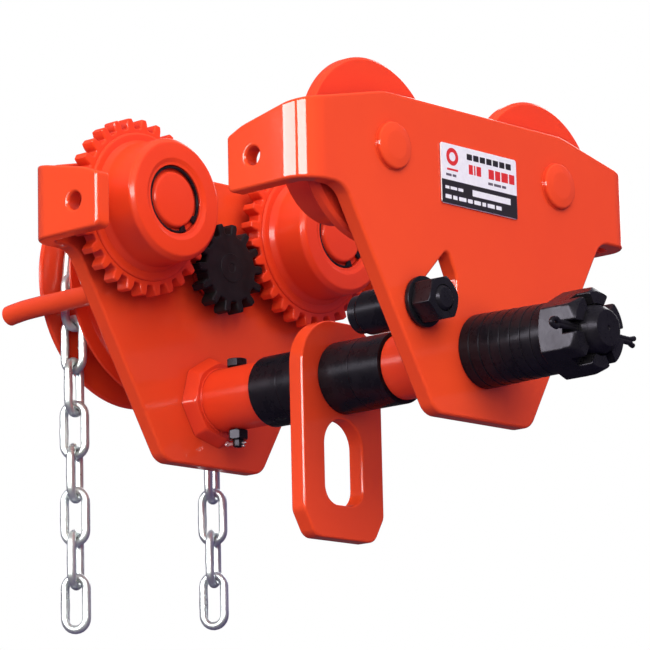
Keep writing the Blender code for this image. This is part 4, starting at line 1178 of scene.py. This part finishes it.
# ======================================================================== stage
def add_floor():
    """A pale floor that glows for the camera but lights nothing."""
    look = Look("pale_floor")
    fill(look.shader, {
        "Base Color": (0.06, 0.06, 0.06, 1),
        "Emission Color": (1.0, 1.0, 1.0, 1),
        "Emission Strength": 0.94,
        "Roughness": 0.7,
        "Specular IOR Level": 0.2,
    })
    look.bump([(look.noise(scale=40.0), 0.02, 0.001)])
    half, z = 30.0, SHIFT.z - 0.66
    mesh = bpy.data.meshes.new("floor")
    mesh.from_pydata([(-half, -half, z), (half, -half, z), (half, half, z), (-half, half, z)],
                     [], [(0, 1, 2, 3)])
    mesh.materials.append(look.material)
    floor = bpy.data.objects.new("floor", mesh)
    scene.collection.objects.link(floor)
    floor.visible_diffuse = False
    floor.visible_glossy = False


def add_world():
    """White to the camera; a soft sky, tinted apart for reflections and for diffuse light."""
    world = bpy.data.worlds.new("studio")
    scene.world = world
    world.use_nodes = True
    nodes, link = world.node_tree.nodes, world.node_tree.links.new
    nodes.clear()
    output = nodes.new("ShaderNodeOutputWorld")
    ray = nodes.new("ShaderNodeLightPath")
    seen = nodes.new("ShaderNodeBackground")
    fill(seen, {"Color": (1, 1, 1, 1), "Strength": 1.0})
    coord = nodes.new("ShaderNodeTexCoord")
    split = nodes.new("ShaderNodeSeparateXYZ")
    link(coord.outputs["Generated"], split.inputs["Vector"])

    def sky(colour, low, high):
        """Even light from above that fades to low below the horizon."""
        shade = nodes.new("ShaderNodeBackground")
        fill(shade, {"Color": (*colour, 1)})
        fade = nodes.new("ShaderNodeMapRange")
        fade.interpolation_type = "SMOOTHSTEP"
        fill(fade, {"From Min": -0.35, "From Max": 0.55, "To Min": low, "To Max": high})
        link(split.outputs["Z"], fade.inputs["Value"])
        link(fade.outputs["Result"], shade.inputs["Strength"])
        return shade.outputs["Background"]

    def choose(ray_kind, otherwise, chosen):
        mix = nodes.new("ShaderNodeMixShader")
        link(ray.outputs[ray_kind], mix.inputs["Fac"])
        link(otherwise, mix.inputs[1])
        link(chosen, mix.inputs[2])
        return mix.outputs["Shader"]

    gloss = sky((0.84, 0.78, 1.0), low=0.05, high=0.22)
    diffuse = sky((0.95, 0.55, 2.3), low=0.22, high=0.46)
    light = choose("Is Glossy Ray", diffuse, gloss)
    shown = choose("Is Camera Ray", light, seen.outputs["Background"])
    link(shown, output.inputs["Surface"])


WHITE, YELLOW = (1, 1, 1), (1.0, 1.0, 0.5)
KEY_FROM, TOP_FROM = (-0.25, -0.80, 0.62), (0.1, 0.15, 1.0)
LOW_AIM, PANEL_AIM = 0.03, 0.085
# name, direction from the target, distance (m), width and height (m), power (W), colour,
# what it lights, height of the target (m)
LIGHTS = [
    ("key", KEY_FROM, 2.4, (1.5, 1.1), 18, YELLOW, "diffuse", LOW_AIM),
    ("fill", (-0.05, -0.98, 0.12), 2.4, (1.4, 0.9), 14, YELLOW, "diffuse", LOW_AIM),
    ("key_gloss", KEY_FROM, 2.4, (1.5, 1.1), 7, WHITE, "glossy", LOW_AIM),
    ("panel_left", (-0.222, -0.956, 0.195), 2.0, (1.82, 0.50), 52, WHITE, "glossy", PANEL_AIM),
    ("panel_right", (0.573, -0.795, 0.195), 2.0, (1.03, 0.50), 32, WHITE, "glossy", PANEL_AIM),
    ("right", (0.80, -0.44, 0.50), 2.7, (2.5, 2.2), 68, (1.0, 0.97, 0.60), "diffuse", LOW_AIM),
    ("front", (0.60, -0.78, -0.05), 2.7, (1.2, 1.2), 15, (1.0, 0.92, 0.60), "diffuse", LOW_AIM),
    ("top", TOP_FROM, 2.2, (1.8, 1.8), 24, WHITE, "diffuse", LOW_AIM),
    ("top_gloss", TOP_FROM, 2.2, (1.8, 1.8), 4, WHITE, "glossy", LOW_AIM),
    ("back", (-0.35, 0.85, 0.45), 2.6, (1.8, 1.3), 24, WHITE, "diffuse and glossy", LOW_AIM),
]


def add_softbox(name, direction, distance, size, power, colour, lights, target_z):
    data = bpy.data.lights.new(name, "AREA")
    data.shape = "RECTANGLE"
    data.size, data.size_y = size
    data.energy = power
    data.color = colour
    obj = bpy.data.objects.new(name, data)
    scene.collection.objects.link(obj)
    outward = Vector(direction).normalized()
    obj.location = Vector((0.0, 0.0, target_z)) + SHIFT + outward * distance
    obj.rotation_mode = "QUATERNION"
    obj.rotation_quaternion = (-outward).to_track_quat("-Z", "Y")
    obj.visible_camera = False
    obj.visible_diffuse = "diffuse" in lights
    obj.visible_glossy = "glossy" in lights


def add_camera():
    """A long lens from the front and the castle nut's side, a little below the trolley."""
    data = bpy.data.cameras.new("camera")
    data.sensor_width = 36.0
    data.lens = 198.108
    data.shift_x = 0.003353846
    data.shift_y = -0.001692308
    data.clip_start, data.clip_end = 0.05, 100.0
    camera = bpy.data.objects.new("camera", data)
    scene.collection.objects.link(camera)
    right = Vector((0.7321, 0.6808, -0.0220)).normalized()
    forward = Vector((-0.6644, 0.7209, 0.1973))
    forward = (forward - right * forward.dot(right)).normalized()
    up = right.cross(forward)
    position = Vector((1.3238, -1.4470, -0.3629)) + SHIFT
    rows = [(right[i], up[i], -forward[i], position[i]) for i in range(3)]
    camera.matrix_world = Matrix((*rows, (0, 0, 0, 1)))
    scene.camera = camera


add_floor()
add_world()
for light_row in LIGHTS:
    add_softbox(*light_row)
add_camera()
scene.view_settings.view_transform = "Standard"
scene.view_settings.look = "None"
